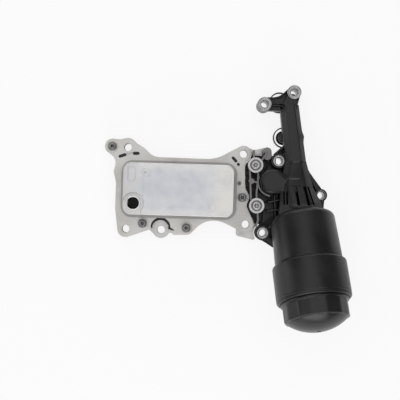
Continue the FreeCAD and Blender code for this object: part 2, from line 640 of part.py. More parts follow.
def cooler_cover():
    """Stamped top plate with its port seat and embossings."""
    cover = rounded_block(CORE_CENTRE, CORE_LENGTH, CORE_WIDTH, CORE_CORNER_R, STACK_TOP, COVER_TOP)
    rim = [edge for edge in cover.Edges if abs(edge.CenterOfMass.z - COVER_TOP) < 0.01]
    cover = cover.makeFillet(COVER_EDGE_R, rim)
    left, low = CORE_LEFT, CORE_LOW
    floor = COVER_TOP - PORT_RECESS_DEPTH
    step_x = PORT_CENTRE[0] + PORT_STEP
    seat = fused([
        cylinder(PORT_CENTRE, PORT_RECESS_R, floor, COVER_TOP + 1),
        rounded_block(((left + step_x) / 2 - 5, low - 1), step_x - left + 10, 2 * (PORT_CENTRE[1] - low), 1.5,
                      floor, COVER_TOP + 1),
    ])
    cover = cover.cut(seat)
    cover = cover.cut(cylinder(PORT_CENTRE, PORT_BORE_R, STACK_TOP - 1, COVER_TOP + 1))
    middle = (CORE_CENTRE[0] - 3.4, CORE_CENTRE[1] + 1.9)
    size = (CORE_LENGTH - 54.6, CORE_WIDTH - 11.8)
    cover = cover.cut(rounded_block(middle, size[0], size[1], 6.0, COVER_TOP - EMBOSS, COVER_TOP + 1))
    root = COVER_TOP - 1
    stadium_x = left + 9.8
    pad_centre = (CORE_RIGHT - 12.6, CORE_HIGH - 14.6)
    raised = [
        slot((stadium_x, CORE_HIGH - 17.0), (stadium_x, CORE_HIGH - 9.4), 10.0, root, COVER_TOP + EMBOSS),
        cylinder((CORE_RIGHT - 25.4, low + 10.8), 4.8, root, COVER_TOP + EMBOSS / 2),
        rounded_block(pad_centre, 17.0, 17.0, 5.0, root, COVER_TOP + EMBOSS / 2),
    ]
    cover = fused([cover] + raised)
    dimple = cylinder((left + 26.5, CORE_HIGH - 10.9), 2.2, COVER_TOP - 1.2, COVER_TOP + 1)
    return cover.cut(dimple)


def cooler_port_ring():
    """Turned ring pressed into the port seat."""
    floor = COVER_TOP - PORT_RECESS_DEPTH
    body = cylinder(PORT_CENTRE, PORT_RING_R, floor, COVER_TOP + EMBOSS)
    return body.cut(cylinder(PORT_CENTRE, PORT_BORE_R, floor - 1, COVER_TOP + 2))


def recess_hole(place, radius, top, depth):
    """Six-lobed driver recess, as a six-sided hole."""
    points = []
    for corner in range(7):
        angle = math.radians(60 * corner)
        x = place[0] + radius * math.cos(angle)
        y = place[1] + radius * math.sin(angle)
        points.append(Vector(x, y, top - depth))
    return Part.Face(Part.makePolygon(points)).extrude(Vector(0, 0, depth + 1))


def cooler_screws():
    """Screws with low round heads that hold the cooler's base plate."""
    seat = BASE_PLATE_TOP + SCREW_PAD_HEIGHT
    screws = []
    for place in PLATE_SCREW_PLACES:
        head = cylinder(place, PLATE_SCREW_HEAD_R, seat, seat + PLATE_SCREW_HEAD)
        rim = [edge for edge in head.Edges if abs(edge.CenterOfMass.z - seat - PLATE_SCREW_HEAD) < 0.01]
        head = head.makeFillet(0.9, rim)
        shank = cylinder(place, PLATE_SCREW_SHANK_R, BASE_PLATE_TOP - PLATE_SCREW_DEPTH, seat + 1)
        screw = head.fuse(shank).cut(recess_hole(place, RECESS_R, seat + PLATE_SCREW_HEAD, RECESS_DEPTH))
        screws.append(screw)
    return Part.makeCompound(screws)


def locating_dowel():
    """Hollow dowel that places the cooler on the carrier."""
    low = BASE_PLATE_TOP + 1 - DOWEL_LENGTH
    pin = cylinder(DOWEL_PLACE, DOWEL_R, low, BASE_PLATE_TOP + 1)
    return pin.cut(cylinder(DOWEL_PLACE, DOWEL_R / 2, low + 3, BASE_PLATE_TOP + 2))


def joint_screws():
    """Screws that clamp the carrier's bosses to the filter housing."""
    seat = JOINT_SCREW_SEAT
    screws = []
    for place in JOINT_BOSSES:
        head = cylinder(place, JOINT_SCREW_HEAD_R, seat, seat + JOINT_SCREW_HEAD)
        shank = cylinder(place, JOINT_SCREW_SHANK_R, 0, seat + 1)
        recess = recess_hole(place, JOINT_SCREW_RECESS_R, seat + JOINT_SCREW_HEAD, JOINT_SCREW_RECESS_DEPTH)
        screws.append(head.fuse(shank).cut(recess))
    return Part.makeCompound(screws)


def bowl_outer():
    """Bowl and collar of the filter housing, before hollowing."""
    return turned([
        (0, BOWL_HEAD, 0),
        (BOWL_HEAD_R, BOWL_HEAD, BOWL_SHOULDER_R),
        (BOWL_R, COLLAR_START - 2.4, 1.0),
        (COLLAR_R - 0.4, COLLAR_START, 3.0),
        (COLLAR_R, LIP_END, LIP_ROUND_R),
        (0, LIP_END, 0),
    ])


def bowl_cavity():
    """Space for the filter element and the mouth for the cap."""
    return turned([
        (0, CAVITY_FLOOR, 0),
        (CAVITY_R - 0.8, CAVITY_FLOOR, 8.0),
        (CAVITY_R, MOUTH_DEPTH - 2, 0),
        (MOUTH_R, MOUTH_DEPTH, 0),
        (MOUTH_R, LIP_END + 1, 0),
        (0, LIP_END + 1, 0),
    ])


def octagon(centre, width, bottom, top, chamfer):
    """Corners of an eight-sided section across the neck, in a plane of constant Y."""
    x, y = centre
    a = width / 2
    lower = min(chamfer, (top - bottom) / 3)
    points = [
        Vector(x - a, y, bottom + lower), Vector(x - a + lower, y, bottom),
        Vector(x + a - lower, y, bottom), Vector(x + a, y, bottom + lower),
        Vector(x + a, y, top - chamfer), Vector(x + a - chamfer, y, top),
        Vector(x - a + chamfer, y, top), Vector(x - a, y, top - chamfer),
    ]
    return Part.makePolygon(points + [points[0]])


def faceted(sections):
    """Solid with flat facets between sections that have as many corners each."""
    rings = [[vertex.Point for vertex in section.OrderedVertexes] for section in sections]
    faces = [Part.Face(section) for section in (sections[0], sections[-1])]
    for first, second in zip(rings[:-1], rings[1:]):
        for index in range(len(first)):
            following = (index + 1) % len(first)
            a, b = first[index], first[following]
            c, d = second[following], second[index]
            faces.append(Part.Face(Part.makePolygon([a, b, c, a])))
            faces.append(Part.Face(Part.makePolygon([a, c, d, a])))
    solid = Part.makeSolid(Part.makeShell(faces))
    if solid.Volume < 0:
        solid.reverse()
    return solid


def neck_sections():
    """Eight-sided sections from the neck's head down to the bowl's head."""
    high = octagon((NECK_HIGH.x, NECK_HIGH.y), NECK_HIGH_WIDTH, NECK_BOTTOM, NECK_TOP - 2, NECK_CHAMFER)
    low = octagon((NECK_LOW.x, NECK_LOW.y), NECK_LOW_WIDTH, NECK_BOTTOM, NECK_TOP + 1, NECK_CHAMFER)
    middle = octagon(TRANSITION_MIDDLE, TRANSITION_MIDDLE_WIDTH, 2.0, TRANSITION_MIDDLE_TOP, 12.0)
    head = octagon(TRANSITION_HEAD, TRANSITION_HEAD_WIDTH, 3.0, TRANSITION_HEAD_TOP, 18.0)
    return [high, low, middle, head]


def dome():
    """Round valve chamber with a ledge that runs into the transition."""
    x, y = DOME_CENTRE
    discs = [
        (x, y, DOME_R),
        (x + 18.6, y + 13.4, -8.0),
        (DOME_END_X, y - 4.6, DOME_R - 4.6),
    ]
    body = belt_prism(discs, 0, DOME_TOP)
    rim = [edge for edge in body.Edges if abs(edge.CenterOfMass.z - DOME_TOP) < 0.01]
    return body.makeFillet(DOME_EDGE_R, rim)


def transition_grooves():
    """Narrow slots that leave the transition's ribs standing."""
    middle = TRANSITION_MIDDLE[0]
    grooves = []
    for top_x, low_x, width in GROOVES:
        first = (middle + top_x, GROOVE_TOP_Y)
        second = (middle + low_x, GROOVE_LOW_Y)
        grooves.append(rib(first, second, width, GROOVE_FLOOR, GROOVE_CUT_TOP))
    return grooves


def flange_outline():
    """Outline of the filter housing's flange, as discs for a belt, clockwise from its upper boss."""
    lower_x, lower_y = LOWER_FLANGE_BOSS
    side_x, side_y = SIDE_FLANGE_BOSS
    return [
        (UPPER_FLANGE_BOSS[0], UPPER_FLANGE_BOSS[1], FLANGE_BOSS_R),
        (CORE_RIGHT + 62.3, 54.5, 3.0),
        (CORE_RIGHT + 78.8, 33.0, 6.0),
        (side_x, side_y, SIDE_FLANGE_BOSS_R),
        (CORE_RIGHT + 105.8, -19.0, 4.0),
        (CORE_RIGHT + 72.8, -60.0, 7.0),
        (CORE_RIGHT + 51.6, -60.6, 6.0),
        (lower_x, lower_y, FLANGE_BOSS_R),
        (CORE_RIGHT + 34.8, -20.0, -3.0),
        (DOME_CENTRE[0] + 3, DOME_CENTRE[1], DOME_R - 1),
    ]


def flange_clearances():
    """Space that the flange and its webs leave for the carrier and round the lower port's seal."""
    carrier = belt_prism(inset(carrier_outline(), -CASTING_GAP / 2), -1, SLEEVE_BOSS_TOP + CARRIER_THICK)
    port = cylinder(LOWER_PORT, PORT_SHROUD_R - PORT_SHROUD_WALL, -1, PORT_SHROUD_TOP)
    return Part.makeCompound([carrier, port])


def port_solids():
    """Port tubes and their thin shrouds behind the neck."""
    solids = []
    for place in (LOWER_PORT, UPPER_PORT):
        solids.append(cylinder(place, PORT_TUBE_R, 0, NECK_BOTTOM + 8))
        shroud = cylinder(place, PORT_SHROUD_R, 2, PORT_SHROUD_TOP)
        solids.append(shroud.cut(cylinder(place, PORT_SHROUD_R - PORT_SHROUD_WALL, 1, PORT_SHROUD_TOP + 1)))
    return solids


def arm_solids():
    """Arm with two ears at the neck's head, hollowed between the ears."""
    left_x, left_y = ARM_LEFT_EAR
    right_x, right_y = ARM_RIGHT_EAR
    body = belt_prism([
        (left_x + 1.4, left_y + 0.4, ARM_WIDTH / 2),
        (left_x + 9.4, left_y + 8.5 + ARM_HOLLOW_R, -ARM_HOLLOW_R),
        (right_x, right_y, EAR_R),
        (right_x - 1.0, right_y - 12.0, 6.0),
        (NECK_HIGH.x - 5.0, NECK_HIGH.y - 1.0, 7.0),
    ], ARM_BOTTOM, ARM_TOP - 1)
    body = body.cut(Part.makeCompound(arm_pockets()))
    ear_top = ARM_SLEEVE_TOP - ARM_SLEEVE_FLANGE
    ears = [cylinder(place, EAR_R, ARM_SLEEVE_FLANGE, ear_top) for place in (ARM_LEFT_EAR, ARM_RIGHT_EAR)]
    return [body] + ears


def arm_pockets():
    """Coring of the arm's top: a square pocket crossed by two ribs, and a three-sided one."""
    x = ARM_LEFT_EAR[0] + ARM_POCKET_SHIFT
    y = ARM_LEFT_EAR[1]
    floor = ARM_TOP - 1 - ARM_POCKET_DEPTH
    square = rounded_block((x, y), ARM_POCKET_SIZE, ARM_POCKET_SIZE, 1.6, floor, ARM_TOP)
    reach = ARM_POCKET_SIZE
    ribs = [rib((x - reach, y + shift), (x + reach, y + shift), ARM_RIB_WIDTH, floor - 1, ARM_TOP - 2)
            for shift in (-ARM_RIB_SPACING / 2, ARM_RIB_SPACING / 2)]
    corner_x, corner_y = ARM_RIGHT_EAR
    three_sided = belt_prism([
        (corner_x - 11.7, corner_y - 5.6, 1.6),
        (corner_x - 8.6, corner_y - 1.6, 1.2),
        (corner_x - 6.6, corner_y - 5.6, 1.6),
    ], floor, ARM_TOP)
    return [square.cut(Part.makeCompound(ribs)), three_sided]


def filter_housing():
    """Glass-filled moulding: bowl, collar, ribbed transition, dome, neck, arm and flange."""
    bosses = [cylinder(UPPER_FLANGE_BOSS, FLANGE_BOSS_R, 0, SLEEVE_BOSS_TOP),
              cylinder(SIDE_FLANGE_BOSS, SIDE_FLANGE_BOSS_R, 0, SLEEVE_BOSS_TOP),
              cylinder(LOWER_FLANGE_BOSS, FLANGE_BOSS_R, 0, SLEEVE_BOSS_TOP)]
    spared = flange_clearances()
    flange = belt_prism(flange_outline(), 0, FLANGE_THICK).cut(spared)
    webs = [rib(first, second, width, 0, top).cut(spared) for first, second, width, top in HOUSING_WEBS]
    floor = carrier_pocket(0, FLOOR_THICK, FLOOR_MARGIN)
    plugs = [cylinder(p, JOINT_PLUG_R, 0, JOINT_PLUG_TOP) for p in JOINT_BOSSES]
    sections = neck_sections()
    ribbed = faceted(sections[1:]).fuse(dome()).cut(Part.makeCompound(transition_grooves()))
    body = on_filter_axis(bowl_outer())
    pieces = [ribbed, flange, floor, faceted(sections[:2])]
    for piece in pieces + bosses + webs + plugs + port_solids() + arm_solids():
        body = body.fuse(piece)
    body = body.removeSplitter()
    cuts = [on_filter_axis(bowl_cavity())]
    cuts += [cylinder(p, FLANGE_SLEEVE_R, -1, SLEEVE_HOLE_TOP) for p in (UPPER_FLANGE_BOSS, LOWER_FLANGE_BOSS)]
    cuts.append(cylinder(SIDE_FLANGE_BOSS, FLANGE_SLEEVE_R - 1, -1, SLEEVE_HOLE_TOP))
    cuts += [cylinder(p, ARM_SLEEVE_BODY_R, -1, SLEEVE_HOLE_TOP) for p in (ARM_LEFT_EAR, ARM_RIGHT_EAR)]
    cuts += [cylinder(p, PORT_TUBE_BORE_R, -1, NECK_BOTTOM + 12) for p in (LOWER_PORT, UPPER_PORT)]
    cuts += [cylinder(p, JOINT_SCREW_SHANK_R, -1, JOINT_PLUG_TOP + 1) for p in JOINT_BOSSES]
    span = body.BoundBox
    below = Vector(span.XMin, span.YMin, span.ZMin - 1)
    cuts.append(Part.makeBox(span.XLength, span.YLength, 1 - span.ZMin, below))
    return body.cut(Part.makeCompound(cuts))


def arm_sleeves():
    """Flanged compression sleeves in the arm's ears."""
    under_flange = ARM_SLEEVE_TOP - ARM_SLEEVE_FLANGE
    profile = [
        (SLEEVE_BORE_R, 0, 0), (ARM_SLEEVE_FLANGE_R, 0, 0), (ARM_SLEEVE_FLANGE_R, ARM_SLEEVE_FLANGE, 0),
        (ARM_SLEEVE_BODY_R, ARM_SLEEVE_FLANGE, 0), (ARM_SLEEVE_BODY_R, under_flange, 0),
        (ARM_SLEEVE_FLANGE_R, under_flange, 0), (ARM_SLEEVE_FLANGE_R, ARM_SLEEVE_TOP, 0.8),
        (SLEEVE_BORE_R + 1.6, ARM_SLEEVE_TOP, 0), (SLEEVE_BORE_R, ARM_SLEEVE_TOP - 1.6, 0),
    ]
    sleeves = []
    for place in (ARM_LEFT_EAR, ARM_RIGHT_EAR):
        sleeve = turned(profile)
        sleeve.translate(Vector(place[0], place[1], 0))
        sleeves.append(sleeve)
    return Part.makeCompound(sleeves)


def flange_sleeves():
    """Straight compression sleeves in the flange's bosses."""
    sleeves = []
    places = [(UPPER_FLANGE_BOSS, FLANGE_SLEEVE_R), (SIDE_FLANGE_BOSS, FLANGE_SLEEVE_R - 1),
              (LOWER_FLANGE_BOSS, FLANGE_SLEEVE_R)]
    for place, radius in places:
        sleeve = turned([
            (SLEEVE_BORE_R, 0, 0), (radius, 0, 0), (radius, FLANGE_SLEEVE_TOP, 0.6),
            (SLEEVE_BORE_R + 0.8, FLANGE_SLEEVE_TOP, 0), (SLEEVE_BORE_R, FLANGE_SLEEVE_TOP - 0.8, 0),
        ])
        sleeve.translate(Vector(place[0], place[1], 0))
        sleeves.append(sleeve)
    return Part.makeCompound(sleeves)


def port_seals():
    """Rubber rings round the two port tubes."""
    seals = []
    for place in (LOWER_PORT, UPPER_PORT):
        seals.append(Part.makeTorus(PORT_TUBE_R + SEAL_R, SEAL_R, Vector(place[0], place[1], SEAL_R)))
    return Part.makeCompound(seals)


def standpipe():
    """Centre tube that carries the clean oil, with the bypass valve's seat in its head."""
    pipe = turned([
        (STANDPIPE_BORE_R, CAVITY_FLOOR, 0), (STANDPIPE_R + 4, CAVITY_FLOOR, 0),
        (STANDPIPE_R + 4, CAVITY_FLOOR + 2, 0), (STANDPIPE_R, CAVITY_FLOOR + 4, 0),
        (STANDPIPE_R, STANDPIPE_END, 1.0), (VALVE_SEAT_BORE_R, STANDPIPE_END, 0),
        (VALVE_SEAT_BORE_R, STANDPIPE_END - VALVE_SEAT, 0), (STANDPIPE_BORE_R, STANDPIPE_END - VALVE_SEAT, 0),
    ])
    return on_filter_axis(pipe)


def valve_levels():
    """Heights of plunger top, spring top, spring foot and retainer foot along the filter axis."""
    plunger_top = STANDPIPE_END - VALVE_SEAT
    spring_top = plunger_top - PLUNGER_WALL
    spring_foot = spring_top - SPRING_LENGTH
    return plunger_top, spring_top, spring_foot, spring_foot - RETAINER_THICK


def bypass_plunger():
    """Cup that closes the bypass seat from inside."""
    top = valve_levels()[0]
    cup = turned([
        (0, top - PLUNGER_WALL, 0), (PLUNGER_R - PLUNGER_WALL, top - PLUNGER_WALL, 0),
        (PLUNGER_R - PLUNGER_WALL, top - PLUNGER_LENGTH, 0), (PLUNGER_R, top - PLUNGER_LENGTH, 0),
        (PLUNGER_R, top, 0), (0, top, 0),
    ])
    return on_filter_axis(cup)


def bypass_spring():
    """Coil between the plunger and its retainer."""
    unused, top, foot, unused = valve_levels()
    height = top - foot - 2 * SPRING_WIRE_R
    helix = Part.makeHelix(height / SPRING_TURNS, height, SPRING_R)
    start = Part.Wire(Part.makeCircle(SPRING_WIRE_R, Vector(SPRING_R, 0, 0), Vector(0, 1, 0)))
    coil = Part.Wire(helix.Edges).makePipeShell([start], True, True)
    coil.translate(Vector(0, 0, foot + SPRING_WIRE_R))
    return on_filter_axis(coil)


def spring_retainer():
    """Pressed disc that the spring stands on."""
    unused, unused, top, foot = valve_levels()
    return on_filter_axis(ring(STANDPIPE_BORE_R, RETAINER_BORE_R, foot, top))


def filter_paper():
    """Pleated paper pack."""
    points = []
    for index in range(2 * PLEATS + 1):
        angle = math.pi * index / PLEATS
        radius = ELEMENT_R if index % 2 == 0 else ELEMENT_R - PLEAT_DEPTH
        points.append(Vector(radius * math.cos(angle), radius * math.sin(angle), ELEMENT_LOW))
    pack = Part.Face(Part.makePolygon(points)).extrude(Vector(0, 0, ELEMENT_HIGH - ELEMENT_LOW))
    pack = pack.cut(Part.makeCylinder(CAGE_R, ELEMENT_HIGH - ELEMENT_LOW + 2, Vector(0, 0, ELEMENT_LOW - 1)))
    return on_filter_axis(pack)


def element_cage():
    """Perforated support tube inside the paper."""
    tube = ring(CAGE_R, CAGE_R - CAGE_WALL, ELEMENT_LOW, ELEMENT_HIGH)
    middle = (ELEMENT_LOW + ELEMENT_HIGH) / 2
    windows = []
    for shift in (-0.55, 0.55):
        low = middle + shift * (ELEMENT_HIGH - ELEMENT_LOW) / 2 - CAGE_WINDOW_LENGTH / 2
        for across in (0, 1):
            reach = 3 * CAGE_R
            size = Vector(reach, CAGE_WINDOW_WIDTH, 0) if across == 0 else Vector(CAGE_WINDOW_WIDTH, reach, 0)
            corner = Vector(-size.x / 2, -size.y / 2, low)
            windows.append(Part.makeBox(size.x, size.y, CAGE_WINDOW_LENGTH, corner))
    return on_filter_axis(tube.cut(Part.makeCompound(windows)))


def element_lower_cap():
    """End cap on the bowl's side, with its wiper round the standpipe."""
    bore = STANDPIPE_R + STANDPIPE_CLEARANCE
    return on_filter_axis(ring(END_CAP_R, bore, ELEMENT_LOW - END_CAP_THICK, ELEMENT_LOW))


def element_upper_cap():
    """End cap on the screw cap's side, with the ring that clips into the screw cap."""
    high = ELEMENT_HIGH + END_CAP_THICK
    bore = STANDPIPE_R + STANDPIPE_CLEARANCE
    inner = SNAP_RING_R - SNAP_RING_WALL
    return on_filter_axis(turned([
        (bore, ELEMENT_HIGH, 0), (END_CAP_R, ELEMENT_HIGH, 0), (END_CAP_R, high, 0),
        (SNAP_RING_R, high, 0), (SNAP_RING_R, SNAP_RING_END, 0.5),
        (inner, SNAP_RING_END, 0), (inner, high, 0), (bore, high, 0),
    ]))


def filter_cap():
    """Screw cap with a fourteen-sided wrench end and a domed bottom."""
    flange_low = LIP_END + CAP_PARTING_GAP
    flange_high = flange_low + CAP_FLANGE
    corner_r = CAP_FLATS / 2 / math.cos(math.pi / CAP_SIDES)
    points = []
    for index in range(CAP_SIDES + 1):
        angle = 2 * math.pi * index / CAP_SIDES + math.pi / 2
        points.append(Vector(corner_r * math.cos(angle), corner_r * math.sin(angle), flange_high - 0.5))
    prism = Part.Face(Part.makePolygon(points)).extrude(Vector(0, 0, CAP_PRISM_END + CAP_DOME - flange_high))
    dome_r = corner_r - CAP_EDGE_R
    sphere_r = (dome_r ** 2 + CAP_DOME ** 2) / (2 * CAP_DOME)
    centre = CAP_PRISM_END + CAP_DOME - sphere_r
    slope = math.asin(dome_r / sphere_r)
    shoulder = Part.Arc(Vector(corner_r, 0, CAP_PRISM_END - CAP_EDGE_R),
                        Vector(corner_r - CAP_EDGE_R * 0.25, 0, CAP_PRISM_END - CAP_EDGE_R * 0.2),
                        Vector(dome_r, 0, CAP_PRISM_END)).toShape()
    crown = Part.Arc(Vector(dome_r, 0, CAP_PRISM_END),
                     Vector(sphere_r * math.sin(slope / 2), 0, centre + sphere_r * math.cos(slope / 2)),
                     Vector(0, 0, CAP_PRISM_END + CAP_DOME)).toShape()
    base = Part.makePolygon([Vector(0, 0, CAP_PRISM_END + CAP_DOME), Vector(0, 0, flange_low),
                             Vector(corner_r, 0, flange_low), Vector(corner_r, 0, CAP_PRISM_END - CAP_EDGE_R)])
    outline = Part.Wire([shoulder, crown] + base.Edges)
    envelope = Part.Face(outline).revolve(Vector(0, 0, 0), Vector(0, 0, 1), 360)
    body = prism.common(envelope)
    thread = ring(CAP_TUBE_R, CAP_TUBE_BORE_R, CAP_NOSE, flange_high)
    groove = ring(CAP_TUBE_R + 1, CAP_SEAL_OUTER_R - 2 * CAP_SEAL_SECTION_R,
                  CAP_SEAL_PLACE - CAP_SEAL_SECTION_R - 0.2, CAP_SEAL_PLACE + CAP_SEAL_SECTION_R + 0.2)
    flange = ring(CAP_FLANGE_R, CAP_TUBE_BORE_R, flange_low, flange_high)
    hollow = turned([
        (0, CAP_NOSE - 1, 0), (CAP_TUBE_BORE_R, CAP_NOSE - 1, 0), (CAP_TUBE_BORE_R, CAP_INNER_END, 6.0),
        (0, CAP_INNER_END + CAP_DOME - 2.5, 0),
    ])
    body = fused([body, thread, flange]).cut(hollow).cut(groove)
    clip_r = SNAP_RING_R + SNAP_GAP
    clip = ring(clip_r + SNAP_RING_WALL, clip_r, SNAP_RING_END - SNAP_OVERLAP, CAP_INNER_END + CAP_DOME / 2)
    body = body.fuse(clip).removeSplitter()
    dimple = Part.makeSphere(3.0, Vector(0, 0, CAP_PRISM_END + CAP_DOME + 1.8))
    return on_filter_axis(body.cut(dimple))


def cap_seal():
    """Rubber ring in the cap's groove."""
    centre_r = CAP_SEAL_OUTER_R - CAP_SEAL_SECTION_R
    return on_filter_axis(Part.makeTorus(centre_r, CAP_SEAL_SECTION_R, Vector(0, 0, CAP_SEAL_PLACE)))


NODES = {
    "carrier_casting": carrier_casting,
    "carrier_gasket": carrier_gasket,
    "cooler_base_plate": cooler_base_plate,
    "cooler_foot": cooler_foot,
    "cooler_stack": cooler_stack,
    "cooler_cover": cooler_cover,
    "cooler_port_ring": cooler_port_ring,
    "cooler_screws": cooler_screws,
    "locating_dowel": locating_dowel,
    "joint_screws": joint_screws,
    "filter_housing": filter_housing,
    "arm_sleeves": arm_sleeves,
    "flange_sleeves": flange_sleeves,
    "port_seals": port_seals,
    "standpipe": standpipe,
    "bypass_plunger": bypass_plunger,
    "bypass_spring": bypass_spring,
    "spring_retainer": spring_retainer,
    "filter_paper": filter_paper,
    "element_cage": element_cage,
    "element_lower_cap": element_lower_cap,
    "element_upper_cap": element_upper_cap,
    "filter_cap": filter_cap,
    "cap_seal": cap_seal,
}


def main():
    os.makedirs("parts", exist_ok=True)
    for name, make in NODES.items():
        shape = make()
        shape.exportStep("parts/" + name + ".step")
        print(name, len(shape.Solids), shape.isValid(), round(shape.Volume / 1000, 2), "cm3")


main()
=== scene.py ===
import math

import bmesh
import bpy
import numpy as np
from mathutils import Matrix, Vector


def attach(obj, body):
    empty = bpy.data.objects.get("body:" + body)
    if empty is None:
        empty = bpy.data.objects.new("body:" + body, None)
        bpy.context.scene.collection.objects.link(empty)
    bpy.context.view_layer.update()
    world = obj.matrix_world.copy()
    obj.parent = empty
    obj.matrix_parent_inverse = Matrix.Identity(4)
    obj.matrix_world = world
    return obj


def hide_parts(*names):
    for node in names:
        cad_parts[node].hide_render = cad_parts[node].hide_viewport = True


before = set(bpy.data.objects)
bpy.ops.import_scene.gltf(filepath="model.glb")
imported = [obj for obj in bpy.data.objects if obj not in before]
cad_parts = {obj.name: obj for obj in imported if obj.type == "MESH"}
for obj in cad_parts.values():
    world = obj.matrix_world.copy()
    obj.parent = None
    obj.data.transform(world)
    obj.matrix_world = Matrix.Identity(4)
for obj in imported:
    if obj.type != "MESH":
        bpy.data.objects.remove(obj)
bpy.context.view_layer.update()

bl_info = {
    "name": "Engine oil cooler module",
    "version": (1, 0, 0),
    "blender": (4, 5, 0),
    "location": "3D View > Sidebar > Oil cooler",
    "description": "Dresses the packed module with shaped surfaces, finishes, floor, light and camera",
    "category": "Object",
}

# Lengths in the shape functions are millimetres in the module's frame; meshes are made in metres.
MM = 0.001
AXIS_POINT = np.array([215.6, -79.7, 55.0])
AXIS_TURN = math.radians(8.0)
AXIS_TILT = math.radians(20.0)
BASE_TOP = 15.0
FOOT_TOP = 16.8
STACK_TOP = 44.4
COVER_TOP = 47.6
CORE_CENTRE = (62.4, -0.6)
PORT_CENTRE = (10.0, -17.6)
PLATE_SCREWS = [(-18.4, 49.4), (20.0, -41.6), (72.4, -45.6), (138.4, -7.3)]
JOINT_BOSSES = [(152.5, 31.5), (155.1, -16.6)]
UPPER_FLANGE_BOSS = (179.8, 37.0)
SIDE_FLANGE_BOSS = (230.7, -2.0)
LOWER_FLANGE_BOSS = (163.1, -48.6)
# Place, outer radius and radius of the hole that the sleeve fills
FLANGE_BOSSES = [(UPPER_FLANGE_BOSS, 9.0, 6.72), (SIDE_FLANGE_BOSS, 7.6, 5.72),
                 (LOWER_FLANGE_BOSS, 9.0, 6.72)]
SLEEVE_GAP = 0.02
FLANGE_THICK = 7.0
FLANGE_BOSS_TOP = 26.6
DOME_CENTRE = (172.9, 12.3)
ARM_EARS = [(160.6, 103.5), (195.2, 118.4)]
NECK_HIGH = (190.2, 104.0)
NECK_LOW = (199.6, 37.0)
NECK_HALF_WIDTH = 11.2
NECK_TOP = 34.0
# Bump on the neck's right side: place along Y, how far it stands out, and the spread of its bell curve
NECK_BUMP = (66.8, 1.6, 4.0)
DOME_TOP = 45.0
PORTS = [(185.7, 65.9), (179.6, 107.7)]

# Screws: level of the seat, radii of washer, head and recess, heights of washer and head, level of the foot
PLATE_SCREW = (BASE_TOP + 0.8, 5.5, 3.9, 1.9, 1.0, 3.0, 7.0)
JOINT_SCREW = (25.2, 6.1, 5.0, 2.5, 0.9, 3.4, 10.2)
SHANK_RADIUS = 2.9
LOBES = 6
LOBE_DEPTH = 0.14

# Pressings of the cover: middle, sizes and corner radius of a rounded rectangle, and its steps, each with its
# share of the embossing's height and the distances inside the outline where it starts and ends
COVER_PRESSINGS = [
    (59.0, 1.3, 75.0, 49.0, 6.0, [(-0.6, -1.2, 1.2)]),
    (7.4, 16.6, 10.0, 17.6, 5.0, [(0.75, -0.5, 0.5), (-0.65, 1.0, 2.0)]),
    (24.1, 18.9, 11.2, 11.2, 5.6, [(0.5, -0.5, 0.4), (-0.5, 0.9, 1.8), (-1.5, 3.9, 4.7)]),
    (101.8, -20.2, 9.6, 9.6, 4.8, [(0.5, -0.5, 0.4), (-0.4, 0.9, 1.8)]),
    (114.6, 15.2, 17.0, 17.0, 5.0, [(0.4, -0.8, 0.8)]),
    (61.0, -19.9, 78.0, 2.6, 1.2, [(0.35, -0.6, 0.5)]),
]
COVER_ROWS = 170
COVER_COLUMNS = 300
COVER_HOLE_RADIUS = 7.7
SEAT_RADIUS = 12.2
SEAT_DEPTH = 2.0

# Profiles are corners (radius or inset, height, rounding)
SEAT_FLOOR = COVER_TOP - SEAT_DEPTH
PORT_RING_PROFILE = [(7.0, SEAT_FLOOR - 1.1, 0), (8.6, SEAT_FLOOR - 1.1, 0), (8.6, COVER_TOP + 0.5, 0.5),
                     (7.0, COVER_TOP + 0.5, 0.5)]
WELL_PROFILE = [(0, 21.6, 0), (7.0, 21.6, 0.5), (7.0, 45.55, 0), (9.5, 45.55, 0), (9.5, 20.6, 0),
                (0, 20.6, 0)]
ARM_SLEEVE_PROFILE = [
    (4.2, 0.5, 0), (4.7, 0, 0), (8.3, 0, 0.5), (8.3, 2.0, 0.3), (6.05, 2.0, 0), (6.05, 32.0, 0),
    (8.3, 32.0, 0.4), (8.3, 34.0, 0.5), (7.3, 34.0, 0.3), (7.0, 33.2, 0.2), (5.4, 33.0, 0.2),
    (5.1, 33.5, 0.2), (4.6, 33.5, 0.3), (4.2, 32.9, 0.2),
]
PORT_TUBE_PROFILE = [(4.8, 0, 0.3), (6.4, 0, 0.5), (6.4, 17.0, 1.0), (0, 17.0, 0), (0, 15.4, 0),
                     (4.8, 15.4, 0.4)]
CAP_EDGE = 70.0
CAP_FLANGE_RADIUS = 39.4
PIP_RADIUS = 3.2
CAP_TUBE_PROFILE = [(36.1, 44.0, 0.2), (35.9, 43.2, 0), (35.9, 42.2, 0), (34.0, 42.2, 0), (34.0, 39.4, 0),
                    (35.9, 39.4, 0), (35.9, 37.4, 0.4), (32.6, 37.4, 0.4), (32.6, 66.0, 6.0), (0, 75.0, 0)]
CLIP_PROFILE = [(20.3, 48.0, 0), (22.3, 48.0, 0.3), (22.3, 70.0, 0), (20.3, 70.0, 0)]
# The cap's flats stand turned by this much where it is tightened
CAP_REST_TURN = math.radians(10.4)
THREAD_RIDGE = np.array([(36.0, -0.9), (36.48, -0.35), (36.48, 0.35), (36.0, 0.9), (35.5, 0.0)])
THREAD_ROOT = 35.6
THREAD_START = 43.4

